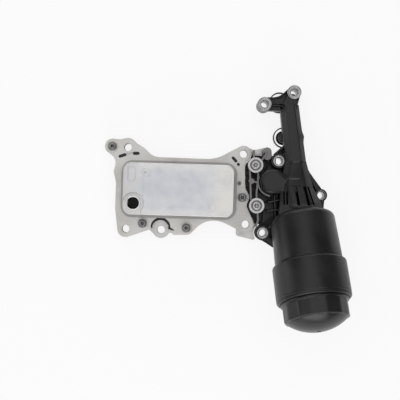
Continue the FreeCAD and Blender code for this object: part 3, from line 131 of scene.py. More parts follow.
# Painted shade in the plate's slots, as two ends and a radius, and a crescent round the ring lug
SHADE_TABS = [((-9.2, 37.6), (-3.4, 39.7), 1.8), ((8.0, 41.6), (12.2, 41.8), 1.9),
               ((125.9, 39.7), (129.5, 35.9), 1.7), ((132.4, 32.2), (132.6, 31.8), 1.7)]
SHADE_TAB_RISE = 0.4
RING_LUG = (41.6, -47.4)
CRESCENT_RADIUS = 10.1
CRESCENT_ARC = (176, 2)
CRESCENT_HOOK = [(51.8, -46.4, 1.3), (57.4, -48.8, 0.7)]

# Grooves between the ribs under the ledge: place along X at their top and low end, and width
GROOVES = [(185.0, 185.6, 1.6), (188.3, 189.0, 1.6), (198.3, 201.7, 3.0), (208.6, 213.4, 2.8),
           (213.0, 219.4, 1.8)]
GROOVE_TOP_Y = 7.0
GROOVE_LOW_Y = -13.5
# Where the ledge over the ribs and the band that closes their lower ends run along X, and the seam to the neck
LEDGE_X = (184.0, 204.0)
BAND_X = (191.0, 219.0)
SEAM_Y = 36.2
# Sections of the ribbed transition, from the neck to the bowl: place along Y, middle, width, top and chamfer
TRANSITION = np.array([(37.0, 199.6, 24.4, 37.0, 7.0), (6.0, 200.4, 38.8, 50.0, 9.0),
                       (-11.0, 205.2, 48.0, 58.0, 13.0), (-34.0, 208.2, 58.0, 66.0, 19.0)])

# Outlines are discs (x, y, radius) for belts
PLATE_OUTLINE = [
    (-18.4, 49.4, 9.1), (-9.5, 66.0, -8.0), (0.0, 48.8, 11.1), (15.5, 60.2, -8.0), (14.5, 43.0, 7.5),
    (38.0, 56.0, -18.0), (95.0, 77.6, -40.0), (138.3, 44.9, 9.6), (151.4, 28.6, -10.9), (149.4, 6.0, -8.0),
    (138.4, -7.3, 8.2), (152.5, -16.5, -8.5), (143.0, -39.3, 9.9), (106.0, -66.0, -30.0), (72.4, -45.6, 8.4),
]
FLANGE_OUTLINE = [
    (179.8, 37.0, 9.0), (189.5, 54.5, 3.0), (206.0, 33.0, 6.0), (230.7, -2.0, 7.6), (233.0, -19.0, 4.0),
    (200.0, -60.0, 7.0), (178.8, -60.6, 6.0), (163.1, -48.6, 9.0), (160.4, -33.0, -2.6), (165.2, -15.0, 1.9),
    (170.8, -6.8, -3.2), (172.9, 12.3, 14.6), (164.4, 31.5, -3.1),
]
# Discs of an outline that carry a boss or an ear, each with the radius of the bite that keeps its hole open
FLANGE_BITES = [(*FLANGE_OUTLINE[0], 7.6), (*FLANGE_OUTLINE[3], 6.4), (*FLANGE_OUTLINE[7], 7.6)]
ARM_OUTLINE = [(162.0, 103.9, 7.8), (170.0, 130.0, -18.0), (195.2, 118.4, 7.9), (194.2, 106.4, 6.0),
               (185.2, 103.0, 7.0)]
ARM_BITES = [(*ARM_OUTLINE[0], 6.9), (*ARM_OUTLINE[2], 6.9)]
ARM_HEAD = [(185.6, 107.0, 2.0), (188.4, 113.0, 2.0), (194.0, 113.5, 3.0), (198.0, 106.0, 2.0),
            (198.0, 100.0, 2.0), (184.0, 100.0, 2.0)]
# Wall between the ears: its ends, and how far its two leaves stand from its middle
ARM_WALL = ((169.0, 103.5), (184.0, 103.5))
ARM_WALL_SHIFT = 1.35
# Webs of the flange: two ends, width and top. One that starts at a boss begins at WEB_START from its middle
FLANGE_WEBS = [
    (UPPER_FLANGE_BOSS, (192.0, 52.0), 4.0, 24.6), ((175.5, 45.5), (188.5, 57.5), 2.0, 25.6),
    (UPPER_FLANGE_BOSS, (192.0, 36.0), 3.0, 24.0), (SIDE_FLANGE_BOSS, (214.0, 26.0), 4.0, 24.6),
    (LOWER_FLANGE_BOSS, (182.0, -64.0), 5.0, 20.0), (LOWER_FLANGE_BOSS, (186.0, -30.0), 4.0, 24.6),
    ((169.0, -12.0), (186.0, -8.0), 2.4, 30.0), ((168.0, -22.0), (186.0, -20.0), 2.4, 30.0),
    ((176.0, -4.0), (178.0, -30.0), 2.4, 27.0),
]
WEB_START = 7.8
# The pocket's floor: where it reaches along X and Y, its level and its gap to the plate's outline
POCKET_X = (138.6, 178.0)
POCKET_Y = (-38.7, 44.3)
POCKET_LEVEL = 2.4
POCKET_GAP = 0.6

# Finishes: the casting is milled above the first level and below the second, in metres
JOINT_SEAT_LEVEL = 0.0248
LOW_LUG_LEVEL = 0.0125
STRAW = (0.80, 0.79, 0.74)
NODE_FINISHES = {
    "sand_cast_aluminium": "carrier_casting",
    "plate_aluminium": "cooler_base_plate cooler_port_ring",
    # the foot round the stack has the plate's finish darkened as painted shade of the stack
    "painted_shade_foot": "cooler_foot",
    "braze_aluminium": "cooler_stack",
    "cover_aluminium": "cooler_cover",
    "screw_steel": "cooler_screws locating_dowel joint_screws bypass_spring",
    "sleeve_steel": "arm_sleeves flange_sleeves spring_retainer",
    "housing_plastic": "filter_housing",
    "cap_plastic": "filter_cap",
    "inner_plastic": "standpipe bypass_plunger element_cage element_lower_cap element_upper_cap",
    "moulded_rubber": "carrier_gasket port_seals cap_seal",
    "filter_medium": "filter_paper",
}

# Stage, in metres. A softbox has its place, two sizes and its share of the overhead or the side power
SOFTBOXES = [
    ("overhead", (-0.05, 0.15, 1.6), 2.3, 2.2, 1.0),
    ("left_side", (-1.3, 0.1, 0.16), 0.3, 1.3, 0.4),
    ("front_side", (0.2, -1.3, 0.55), 1.2, 0.8, 1.2),
    ("back_side", (0.0, 1.3, 0.4), 1.4, 0.4, 0.8),
]
LIGHT_TARGET = (0.12, -0.01, 0.0)
WORLD_LIGHT = 0.2
FLOOR_HALF = 0.9
FLOOR_LEVEL = -0.0006
FLOOR_WHITE = 0.94
FLOOR_PLAIN_SHARE = 0.86
VIEW_LEVEL = 0.010


def length(name, text, value):
    """A size the user can change, in metres."""
    return bpy.props.FloatProperty(name=name, description=text, default=value, unit="LENGTH",
                                   subtype="DISTANCE")


def colour(name, text, value):
    """A colour the user can change."""
    return bpy.props.FloatVectorProperty(name=name, description=text, default=value, subtype="COLOR",
                                         min=0, max=1)


def power(name, text, value):
    """A light's power the user can change."""
    return bpy.props.FloatProperty(name=name, description=text, default=value)


def count(name, text, value, low, high):
    """A number of equal parts that the user can change."""
    return bpy.props.IntProperty(name=name, description=text, default=value, min=low, max=high)


class CoolerSizes(bpy.types.PropertyGroup):
    """Sizes of the cooler's core."""
    core_length: length("Core length", "Length of the plate stack", 0.1296)
    core_width: length("Core width", "Width of the plate stack", 0.0608)
    core_corner: length("Corner radius", "Radius of the stack's upright corners", 0.0095)
    cover_edge: length("Cover edge", "Radius of the cover's rolled edge", 0.0012)
    emboss: length("Embossing", "Height of the pressed features of the cover", 0.0006)
    plates: count("Plates", "Dished plates in the stack", 12, 4, 24)
    lip: length("Plate flare", "How far each plate's rim flares out", 0.0014)


class HousingSizes(bpy.types.PropertyGroup):
    """Sizes of the moulded filter housing."""
    bowl_radius: length("Bowl radius", "Radius of the bowl at its collar", 0.0393)
    collar_radius: length("Collar radius", "Radius of the collar", 0.0435)
    lip_end: length("Lip end", "Where the collar ends along the filter axis", 0.0476)
    dome_radius: length("Dome radius", "Radius of the valve chamber's dome", 0.0146)
    groove_floor: length("Groove floor", "Height of the floor between the ribs", 0.036)


class CapSizes(bpy.types.PropertyGroup):
    """Sizes of the screw cap."""
    flats: length("Across flats", "Size of the wrench end", 0.074)
    sides: count("Flats", "Number of flats of the wrench end", 14, 6, 20)
    dome: length("Dome height", "Height of the domed bottom", 0.012)
    pitch: length("Thread pitch", "Pitch of the cap's thread", 0.004)


class FinishColours(bpy.types.PropertyGroup):
    """Colours of the finishes."""
    cast: colour("Cast aluminium", "Carrier casting", (0.19, 0.188, 0.184))
    plate: colour("Cooler plate", "Base plate and foot", (0.63, 0.62, 0.60))
    cover: colour("Cooler cover", "Pressed cover", (0.74, 0.735, 0.735))
    plastic: colour("Moulding", "Glass-filled moulding", (0.0085, 0.0085, 0.0095))
    steel: colour("Steel", "Sleeves and screws", (0.68, 0.68, 0.68))


class StageSizes(bpy.types.PropertyGroup):
    """Camera, floor and light."""
    camera_height: length("Camera height", "Height of the camera above the floor", 1.21)
    camera_x: length("Camera X", "Place of the camera along X", 0.0879)
    camera_y: length("Camera Y", "Place of the camera along Y", -0.0118)
    view_width: length("View width", "Width of the view at the height of the base plate", 0.48)
    roll: bpy.props.FloatProperty(name="Camera roll", description="Turn of the camera about its view",
                                  unit="ROTATION", default=math.radians(1.7))
    overhead: power("Overhead light", "Power of the overhead softbox", 15.0)
    side: power("Side light", "Power that the softboxes at the sides take their shares of", 7.0)


# Shape kit


def rounded_line(corners, steps=6, closed=False):
    """Line through corners (a, b, radius): each becomes an arc of its radius that touches both its runs."""
    total = len(corners)
    found = []
    for index in range(total):
        a, b, radius = corners[index]
        end = not closed and index in (0, total - 1)
        if radius == 0 or end:
            found.append([(a, b)])
            continue
        pa, pb = corners[index - 1][:2]
        na, nb = corners[(index + 1) % total][:2]
        back = math.atan2(pb - b, pa - a)
        turn = math.remainder(math.atan2(nb - b, na - a) - back, 2 * math.pi)
        reach = radius / math.sin(abs(turn) / 2)
        middle = back + turn / 2
        ca, cb = a + reach * math.cos(middle), b + reach * math.sin(middle)
        start = middle + math.pi - math.copysign(math.pi / 2 - abs(turn) / 2, turn)
        sweep = math.copysign(math.pi - abs(turn), turn)
        angle = start + sweep * np.linspace(0, 1, steps)
        first = (ca + radius * math.cos(angle[0]), cb + radius * math.sin(angle[0]))
        touch = radius / math.tan(abs(turn) / 2)
        near = (a + touch * math.cos(back), b + touch * math.sin(back))
        if math.dist(first, near) > 1e-6:
            angle = angle[::-1]
        found.append(np.stack([ca + radius * np.cos(angle), cb + radius * np.sin(angle)], -1))
    line = np.concatenate([np.array(part, float).reshape(-1, 2) for part in found])
    return np.concatenate([line, line[:1]]) if closed else line


def turned(line, segments=96):
    """Surface of revolution: point(u, v) = (r(v) cos u, r(v) sin u, h(v)) from a line of (r, h)."""
    u = np.linspace(0, 2 * math.pi, segments, endpoint=False)[None, :]
    r, h = line[:, :1], line[:, 1:]
    return np.stack([r * np.cos(u), r * np.sin(u), h + 0 * u], -1)


def upright(points, place):
    """Moves points made about the Z axis to a place in plan."""
    return points + np.array([place[0], place[1], 0.0])


def on_filter_axis(points):
    """Moves points made about the Z axis to the filter axis: x across, y up from it, z along it."""
    across = np.array([math.cos(AXIS_TURN), math.sin(AXIS_TURN), 0.0])
    flat = math.cos(AXIS_TILT)
    along = np.array([math.sin(AXIS_TURN) * flat, -math.cos(AXIS_TURN) * flat, math.sin(AXIS_TILT)])
    return AXIS_POINT + points @ np.stack([across, np.cross(along, across), along])


def belt(discs, spacing=0.9):
    """Outline laid clockwise round discs (x, y, r), r > 0 passed outside and r < 0 inside: arcs joined by
    their common tangents. Gives points and outward normals; an arc is sampled evenly in its angle."""
    runs = []
    for (ax, ay, ar), (bx, by, br) in zip(discs, discs[1:] + discs[:1]):
        runs.append(math.atan2(by - ay, bx - ax) + math.asin((br - ar) / math.hypot(bx - ax, by - ay)))
    angles, centres, radii = [], [], []
    for index, (x, y, r) in enumerate(discs):
        turn = math.remainder(runs[index] - runs[index - 1], 2 * math.pi)
        if r > 0 and turn > 1e-6:
            turn -= 2 * math.pi
        if r < 0 and turn < -1e-6:
            turn += 2 * math.pi
        steps = max(2, int(abs(turn * r) / spacing) + 1)
        heading = runs[index - 1] + turn * np.linspace(0, 1, steps)
        angles.append(heading)
        centres.append(np.tile((x, y), (steps, 1)))
        radii.append(np.full(steps, r))
    heading = np.concatenate(angles)
    normals = np.stack([-np.sin(heading), np.cos(heading)], -1)
    return np.concatenate(centres) + normals * np.concatenate(radii)[:, None], normals


def round_path(centre, size_x, size_y, radius, corner_steps=10, side_steps=40):
    """Rounded rectangle laid clockwise, with points along its sides too. Gives points and outward normals."""
    a, b = size_x / 2 - radius, size_y / 2 - radius
    points, normals = [], []
    for start, corner, following in ((90, (a, b), (a, -b)), (0, (a, -b), (-a, -b)),
                                     (-90, (-a, -b), (-a, b)), (180, (-a, b), (a, b))):
        angle = np.radians(np.linspace(start, start - 90, corner_steps))
        normal = np.stack([np.cos(angle), np.sin(angle)], -1)
        arc = np.array(corner) + radius * normal
        share = np.linspace(0, 1, side_steps + 2)[1:-1, None]
        side = arc[-1] + share * (np.array(following) - np.array(corner))
        points += [arc, side]
        normals += [normal, np.tile(normal[-1], (side_steps, 1))]
    return np.concatenate(points) + np.array(centre), np.concatenate(normals)


def carried(path, normals, profile):
    """Profile carried round a path: point(u, v) = path(u) - inset(v) normal(u), at height z(v)."""
    inset, height = profile[:, 0][:, None, None], profile[:, 1][:, None, None]
    flat = path[None] - inset * normals[None]
    return np.concatenate([flat, np.broadcast_to(height, flat.shape[:2] + (1,))], -1)


def grid_faces(rows, columns, wrap=True):
    """Quads between neighbouring rows and columns; wrap joins the last column to the first."""
    r = np.arange(rows - 1)[:, None]
    c = np.arange(columns if wrap else columns - 1)[None, :]
    n = (c + 1) % columns
    quads = [r * columns + c, r * columns + n, (r + 1) * columns + n, (r + 1) * columns + c]
    return np.stack(quads, -1).reshape(-1, 4)


def grid_part(points, wrap=True, ends=True):
    """Points and faces of one grid; ends closes its first and last row with a flat face each."""
    rows, columns = points.shape[:2]
    faces = grid_faces(rows, columns, wrap).tolist()
    if ends:
        faces.append(list(range(columns))[::-1])
        faces.append(list(range((rows - 1) * columns, rows * columns)))
    return points.reshape(-1, 3), faces


def lathe_part(corners, place=None, segments=96, steps=6, closed=False):
    """A turned part, upright at a place, or on the filter axis where no place is given."""
    points = turned(rounded_line(corners, steps, closed), segments)
    points = on_filter_axis(points) if place is None else upright(points, place)
    return grid_part(points, ends=False)


def bitten(path, normals, bites):
    """Outline with the arc round each place (x, y, outer radius, bite radius) turned in to a bite of the
    smaller radius, so that a ring can stand there with its hole open."""
    for x, y, outer, inner in bites:
        away = path - (x, y)
        on_arc = np.abs(np.hypot(away[:, 0], away[:, 1]) - outer) < 0.06
        start = np.flatnonzero(on_arc & ~np.roll(on_arc, 1))[0]
        path, normals, away, on_arc = [np.roll(rows, -start, 0) for rows in (path, normals, away, on_arc)]
        count = on_arc.argmin()
        first, last = np.arctan2(away[[0, count - 1], 1], away[[0, count - 1], 0])
        turn = first + ((last - first) % (2 * np.pi)) * np.linspace(0, 1, 40)
        ray = np.stack([np.cos(turn), np.sin(turn)], -1)
        path = np.concatenate([(x, y) + ray * inner, path[count:]])
        normals = np.concatenate([-ray, normals[count:]])
    return path, normals


def prism_part(discs, bottom, top, edge=0.8, spacing=0.9, bites=()):
    """Upright part whose outline is a belt round discs, with both its rims rounded."""
    path, normals = bitten(*belt(discs, spacing), bites)
    profile = rounded_line([(edge * 3, bottom, 0), (0, bottom, edge), (0, top, edge), (edge * 3, top, 0)], 5)
    return grid_part(carried(path, normals, profile[1:-1]))


def sheet_part(top, bottom, keep):
    """Solid between a grid of top points and a flat underside, with walls round the kept quads."""
    rows, columns = top.shape[:2]
    under = top.copy()
    under[..., 2] = bottom
    quads = grid_faces(rows, columns, False)[keep.reshape(-1)]
    edges = np.concatenate([quads[:, [0, 1]], quads[:, [1, 2]], quads[:, [2, 3]], quads[:, [3, 0]]])
    code = np.sort(edges, 1) @ np.array([rows * columns, 1])
    first, counts = np.unique(code, return_index=True, return_counts=True)[1:]
    rim = edges[first[counts == 1]]
    total = rows * columns
    walls = np.stack([rim[:, 1], rim[:, 0], rim[:, 0] + total, rim[:, 1] + total], -1)
    faces = np.concatenate([quads, quads[:, ::-1] + total, walls])
    return np.concatenate([top.reshape(-1, 3), under.reshape(-1, 3)]), faces.tolist()


def slot_part(first, second, width, bottom, top, edge=0.5):
    """Upright wall with round ends between two places."""
    return prism_part([(*first, width / 2), (*second, width / 2)], bottom, top, edge)


def ring_part(place, outer, inner, bottom, top, edge=0.6):
    """Upright tube at a place, its rims rounded."""
    line = [(inner, bottom, edge / 2), (outer, bottom, edge), (outer, top, edge), (inner, top, edge / 2)]
    return lathe_part(line, place, 72, 4, True)


def rim_part(discs, width, bottom, top, edge=0.5):
    """Wall of one width that follows a belt round discs on its inner side."""
    path, normals = belt(discs)
    line = rounded_line([(0, bottom, 0), (0, top, edge), (width, top, edge), (width, bottom, 0)], 4)
    return grid_part(carried(path, normals, np.concatenate([line, line[:1]])), ends=False)


def in_outline(discs, x, y):
    """True where a point is inside a belt round discs: an odd number of its edges lie to the point's right."""
    path = belt(discs)[0]
    ax, ay, bx, by = [column[:, None, None] for column in (*path.T, *np.roll(path, -1, 0).T)]
    rise = np.where(by == ay, 1.0, by - ay)
    crossed = ((ay > y) != (by > y)) & (x < ax + (y - ay) * (bx - ax) / rise)
    return crossed.sum(0) % 2 == 1


def quad_middles(grid):
    """Value in the middle of each quad of a grid, from two of its corners."""
    return (grid[:-1, :-1] + grid[1:, 1:]) / 2


def soft_step(value, low, high):
    """0 below low, 1 above high, smooth between: 3 s squared minus 2 s cubed of the share s of the way."""
    share = np.clip((value - low) / (high - low), 0, 1)
    return share * share * (3 - 2 * share)


def soft_band(value, low, low_end, high, high_end):
    """1 between two smooth steps, 0 outside them."""
    return soft_step(value, low, low_end) * (1 - soft_step(value, high, high_end))


def inside_box(x, y, centre, size_x, size_y, radius):
    """Distance inside a rounded rectangle, negative outside: its corner radius less the distance past the
    corner arcs' middles. With both sizes twice the radius it is a circle."""
    px = np.abs(x - centre[0]) - size_x / 2 + radius
    py = np.abs(y - centre[1]) - size_y / 2 + radius
    outside = np.hypot(np.maximum(px, 0), np.maximum(py, 0)) + np.minimum(np.maximum(px, py), 0)
    return radius - outside


def piece(name, parts, finish, sharp=32, replaces=(), body="module"):
    """Object from parts in millimetres: doubles merged, faces outwards, creases over the sharp angle kept."""
    points, faces, shift = [], [], 0
    for part_points, part_faces in parts:
        points.append(part_points)
        faces += [[index + shift for index in face] for face in part_faces]
        shift += len(part_points)
    mesh = bpy.data.meshes.new(name)
    mesh.from_pydata((np.concatenate(points) * MM).tolist(), [], faces)
    work = bmesh.new()
    work.from_mesh(mesh)
    bmesh.ops.remove_doubles(work, verts=work.verts, dist=1e-6)
    loose = [vertex for vertex in work.verts if not vertex.link_faces]
    bmesh.ops.delete(work, geom=loose, context="VERTS")
    bmesh.ops.recalc_face_normals(work, faces=work.faces)
    work.to_mesh(mesh)
    work.free()
    mesh.shade_smooth()
    mesh.set_sharp_from_angle(angle=math.radians(sharp))
    made = bpy.data.objects.new(name, mesh)
    bpy.context.scene.collection.objects.link(made)
    mesh.materials.append(bpy.data.materials[finish])
    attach(made, body)
    if replaces:
        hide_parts(*replaces)
    return made


def moulding(name, parts, sharp=36):
    """A piece of the black filter housing."""
    piece(name, parts, "housing_plastic", sharp, ("filter_housing",))


# Finish kit


def wired(tree, kind, output, inputs, **settings):
    """A new shader node's output, or the node itself where output is None. Inputs are numbers, colours or
    other nodes' outputs, by name or by place."""
    node = tree.nodes.new("ShaderNode" + kind)
    for name, value in settings.items():
        setattr(node, name, value)
    for key, value in inputs.items():
        if isinstance(value, bpy.types.NodeSocket):
            tree.links.new(value, node.inputs[key])
        else:
            node.inputs[key].default_value = value
    return node if output is None else node.outputs[output]


class Finish:
    """One material with its node tree, Object coordinates and surface shader at hand."""

    def __init__(self, name, base, metallic, roughness):
        material = bpy.data.materials.new(name)
        material.use_nodes = True
        material.diffuse_color = (*base, 1)
        self.tree = material.node_tree
        self.shader = self.tree.nodes["Principled BSDF"]
        for socket, value in (("Base Color", (*base, 1)), ("Metallic", metallic), ("Roughness", roughness)):
            self.shader.inputs[socket].default_value = value
        self.place = self.node("TexCoord", "Object", {})

    def node(self, kind, output, inputs, **settings):
        """Output of a new node in this material."""
        return wired(self.tree, kind, output, inputs, **settings)

    def stretched(self, scale, turn=0.0):
        """Object coordinates scaled by a vector, for grain that runs one way."""
        return self.node("Mapping", "Vector", {"Vector": self.place, "Scale": scale,
                                               "Rotation": (0, 0, turn)})

    def noise(self, scale, detail=3.0, roughness=0.5, at=None):
        """Noise between 0 and 1."""
        return self.node("TexNoise", "Fac", {"Vector": at or self.place, "Scale": scale, "Detail": detail,
                                             "Roughness": roughness})

    def cells(self, scale):
        """Distance to the nearest of scattered points."""
        return self.node("TexVoronoi", "Distance", {"Vector": self.place, "Scale": scale})

    def ranged(self, value, low, high, to_low=0.0, to_high=1.0):
        """A value taken from one range to another, held at its ends."""
        return self.node("MapRange", "Result", {"Value": value, "From Min": low, "From Max": high,
                                                "To Min": to_low, "To Max": to_high})

    def maths(self, kind, first, second=0.0):
        """Two values, or a value and a number, put together."""
        return self.node("Math", "Value", {0: first, 1: second}, operation=kind)

    def mixed(self, share, first, second):
        """Colour between two colours."""
        first, second = [(*value, 1) if isinstance(value, tuple) else value for value in (first, second)]
        return self.node("Mix", 2, {"Factor": share, 6: first, 7: second}, data_type="RGBA")

    def coordinate(self, number):
        """One of the three Object coordinates, in metres."""
        return self.node("SeparateXYZ", number, {"Vector": self.place})

    def facing_up(self):
        """The upward part of the surface normal."""
        return self.node("SeparateXYZ", "Z", {"Vector": self.node("NewGeometry", "Normal", {})})

    def set(self, name, value):
        """Links a value to one of the shader's sockets."""
        self.tree.links.new(value, self.shader.inputs[name])

    def softened(self, radius):
        """Normals rounded over sharp edges by a radius in metres."""
        return self.node("Bevel", "Normal", {"Radius": radius}, samples=4)

    def bumped(self, *layers, last=None):
        """Bump from (height, strength, depth in metres) layers, over the normals given as last."""
        for value, strength, depth in layers:
            inputs = {"Height": value, "Strength": strength, "Distance": depth}
            if last is not None:
                inputs["Normal"] = last
            last = self.node("Bump", "Normal", inputs)
        self.set("Normal", last)


def tinted(base, share):
    """A colour made lighter or darker by a share."""
    return tuple(min(1.0, channel * share) for channel in base)


def cast_aluminium(base):
    """Dark sand-cast grain on sides and floors, upper faces cleaned, bosses and low lugs milled bright."""
    finish = Finish("sand_cast_aluminium", base, 0.6, 0.55)
    grain = finish.noise(1100.0, 5.0, 0.6)
    pits = finish.cells(520.0)
    patch = finish.noise(60.0, 4.0)
    upward = finish.ranged(finish.facing_up(), 0.55, 0.95)
    milled = finish.maths("MULTIPLY", upward, finish.ranged(patch, 0.25, 0.6, 0.7, 1.0))
    cast = finish.mixed(finish.ranged(patch, 0.3, 0.7), tinted(base, 0.7), tinted(base, 1.15))
    cast = finish.mixed(finish.ranged(grain, 0.35, 0.65, 0.0, 0.6), cast, tinted(base, 0.45))
    bright = finish.mixed(finish.ranged(grain, 0.3, 0.7), tinted(base, 1.35), tinted(base, 0.6))
    level = finish.coordinate(2)
    seats = finish.maths("MAXIMUM", finish.maths("GREATER_THAN", level, JOINT_SEAT_LEVEL),
                         finish.maths("LESS_THAN", level, LOW_LUG_LEVEL))
    bright = finish.mixed(seats, bright, tinted(base, 3.0))
    finish.set("Base Color", finish.mixed(milled, cast, bright))
    finish.set("Roughness", finish.ranged(milled, 0, 1, 0.5, 0.34))
    rough = finish.maths("SUBTRACT", 1.2, milled)
    grained, pitted = finish.maths("MULTIPLY", grain, rough), finish.maths("MULTIPLY", pits, rough)
    finish.bumped((grained, 0.5, 0.0005), (pitted, 0.3, 0.0005), last=finish.softened(0.0006))


def plate_aluminium(name, base):
    """Tumbled plate: fine even grain, faint handling marks and darker stains."""
    finish = Finish(name, base, 0.6, 0.48)
    grain = finish.noise(1600.0, 4.0, 0.6)
    stain = finish.noise(26.0, 4.0)
    scratch = finish.noise(60.0, 2.0, at=finish.stretched((1.0, 22.0, 1.0), 0.4))
    shade = finish.mixed(finish.ranged(stain, 0.34, 0.66), tinted(base, 0.84), tinted(base, 1.12))
    shade = finish.mixed(finish.ranged(grain, 0.3, 0.7, 0.0, 0.4), shade, tinted(base, 0.78))
    shade = finish.mixed(finish.ranged(scratch, 0.58, 0.7, 0.0, 0.35), shade, tinted(base, 1.25))
    finish.set("Base Color", shade)
    finish.set("Roughness", finish.ranged(grain, 0.3, 0.7, 0.40, 0.56))
    finish.bumped((grain, 0.3, 0.0002), (stain, 0.1, 0.001), last=finish.softened(0.0008))


def cover_aluminium(base):
    """Rolled and brazed sheet: a bluish middle field, paler borders, and straw-coloured furnace bloom."""
    finish = Finish("cover_aluminium", base, 0.35, 0.42)
    bloom = finish.noise(55.0, 4.0, 0.6)
    straw = finish.noise(30.0, 3.0, at=finish.stretched((1.0, 1.0, 1.0), 1.2))
    rolled = finish.noise(240.0, 3.0, at=finish.stretched((0.18, 5.0, 1.0)))
    x, y = finish.coordinate(0), finish.coordinate(1)
    along = finish.maths("ABSOLUTE", finish.maths("SUBTRACT", x, 0.060))
    over = finish.maths("ABSOLUTE", finish.maths("ADD", y, 0.0005))
    field = finish.maths("MULTIPLY", finish.ranged(along, 0.034, 0.046, 1.0, 0.0),
                         finish.ranged(over, 0.021, 0.026, 1.0, 0.0))
    shade = finish.mixed(finish.ranged(bloom, 0.3, 0.7), tinted(base, 1.06), tinted(base, 0.9))
    middle = finish.mixed(finish.ranged(bloom, 0.35, 0.65), (0.68, 0.69, 0.725), (0.58, 0.60, 0.65))
    shade = finish.mixed(finish.maths("MULTIPLY", field, 0.85), shade, middle)
    shade = finish.mixed(finish.ranged(x, -0.002, 0.026, 0.6, 0.0), shade, (0.55, 0.545, 0.565))
    right = finish.maths("MULTIPLY", finish.ranged(x, 0.098, 0.112, 0.0, 0.8), finish.ranged(straw, 0.4, 0.6))
    finish.set("Base Color", finish.mixed(right, shade, STRAW))
    finish.set("Roughness", finish.ranged(rolled, 0.3, 0.7, 0.36, 0.5))
    finish.bumped((rolled, 0.12, 0.0001), (bloom, 0.3, 0.0012))


def braze_aluminium(base):
    """Edges of the brazed stack: silvery with dull flux bloom in the valleys."""
    finish = Finish("braze_aluminium", base, 0.8, 0.42)
    flux = finish.noise(420.0, 5.0, 0.65)
    wide = finish.noise(60.0, 3.0)
    shade = finish.mixed(finish.ranged(flux, 0.42, 0.66), base, tinted(base, 0.72))
    finish.set("Base Color", finish.mixed(finish.ranged(wide, 0.4, 0.7, 0.0, 0.5), shade, STRAW))
    finish.set("Roughness", finish.ranged(flux, 0.3, 0.7, 0.34, 0.6))
    finish.bumped((flux, 0.25, 0.0002))


def moulded_plastic(name, base, low, high, grain_strength):
    """Glass-filled moulding: fine leathery grain, faint flow marks and fibres in its skin."""
    finish = Finish(name, base, 0.0, low)
    grain = finish.noise(1900.0, 3.0, 0.55)
    flow = finish.noise(30.0, 4.0, 0.55)
    fibres = finish.noise(700.0, 2.0, at=finish.stretched((1.0, 0.22, 1.0), 0.3))
    shade = finish.mixed(finish.ranged(flow, 0.35, 0.65), tinted(base, 0.8), tinted(base, 1.2))
    shade = finish.mixed(finish.ranged(fibres, 0.62, 0.76, 0.0, 0.6), shade, tinted(base, 2.2))
    finish.set("Base Color", shade)
    finish.set("Roughness", finish.ranged(flow, 0.3, 0.7, low, high))
    finish.shader.inputs["Specular IOR Level"].default_value = 0.42
    finish.bumped((grain, grain_strength, 0.00012), (flow, 0.06, 0.0012), last=finish.softened(0.0003))


def turned_steel(name, base, roughness):
    """Turned or pressed steel with a zinc bloom."""
    finish = Finish(name, base, 0.95, roughness)
    bloom = finish.noise(300.0, 4.0)
    lines = finish.noise(900.0, 2.0, at=finish.stretched((1.0, 1.0, 0.1)))
    finish.set("Base Color", finish.mixed(finish.ranged(bloom, 0.35, 0.7), base, tinted(base, 0.7)))
    finish.set("Roughness", finish.ranged(lines, 0.3, 0.7, roughness - 0.08, roughness + 0.12))
    finish.bumped((lines, 0.18, 0.0001))


def powdered(name, base, roughness, noise, step, shades, strength):
    """Even material whose colour goes between two shades with fine noise, which is its bump too."""
    finish = Finish(name, base, 0.0, roughness)
    grain = finish.noise(*noise)
    finish.set("Base Color", finish.mixed(finish.ranged(grain, *step), *shades))
    finish.bumped((grain, strength, 0.0002))


class MODULE_OT_finishes(bpy.types.Operator):
    """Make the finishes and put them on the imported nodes"""
    bl_idname = "oilcooler.finishes"
    bl_label = "Finishes"

    def execute(self, context):
        colours = context.scene.finish_colours
        plate, plastic, steel = tuple(colours.plate), tuple(colours.plastic), tuple(colours.steel)
        cast_aluminium(tuple(colours.cast))
        cover_aluminium(tuple(colours.cover))
        braze_aluminium(plate)
        # The foot gets the plate's colour at 0.6: painted shade of the stack round its foot
        for name, share in (("plate_aluminium", 1.0), ("painted_shade_foot", 0.6), ("ring_aluminium", 1.5)):
            plate_aluminium(name, tinted(plate, share))
        moulded_plastic("housing_plastic", plastic, 0.30, 0.44, 0.14)
        moulded_plastic("cap_plastic", tinted(plastic, 1.15), 0.26, 0.36, 0.12)
        moulded_plastic("inner_plastic", tinted(plastic, 2.5), 0.45, 0.55, 0.1)
        turned_steel("sleeve_steel", tinted(steel, 0.7), 0.38)
        turned_steel("screw_steel", tinted(steel, 0.36), 0.36)
        powdered("moulded_rubber", (0.012, 0.012, 0.012), 0.62, (500.0, 4.0), (0.4, 0.75),
                 ((0.010, 0.010, 0.010), (0.03, 0.03, 0.03)), 0.1)
        powdered("filter_medium", (0.72, 0.58, 0.30), 0.85, (1500.0, 5.0, 0.7), (0.3, 0.7),
                 ((0.66, 0.52, 0.26), (0.80, 0.68, 0.42)), 0.3)
        for finish, names in NODE_FINISHES.items():
            for name in names.split():
                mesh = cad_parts[name].data
                mesh.materials.clear()
                mesh.materials.append(bpy.data.materials[finish])
        return {"FINISHED"}


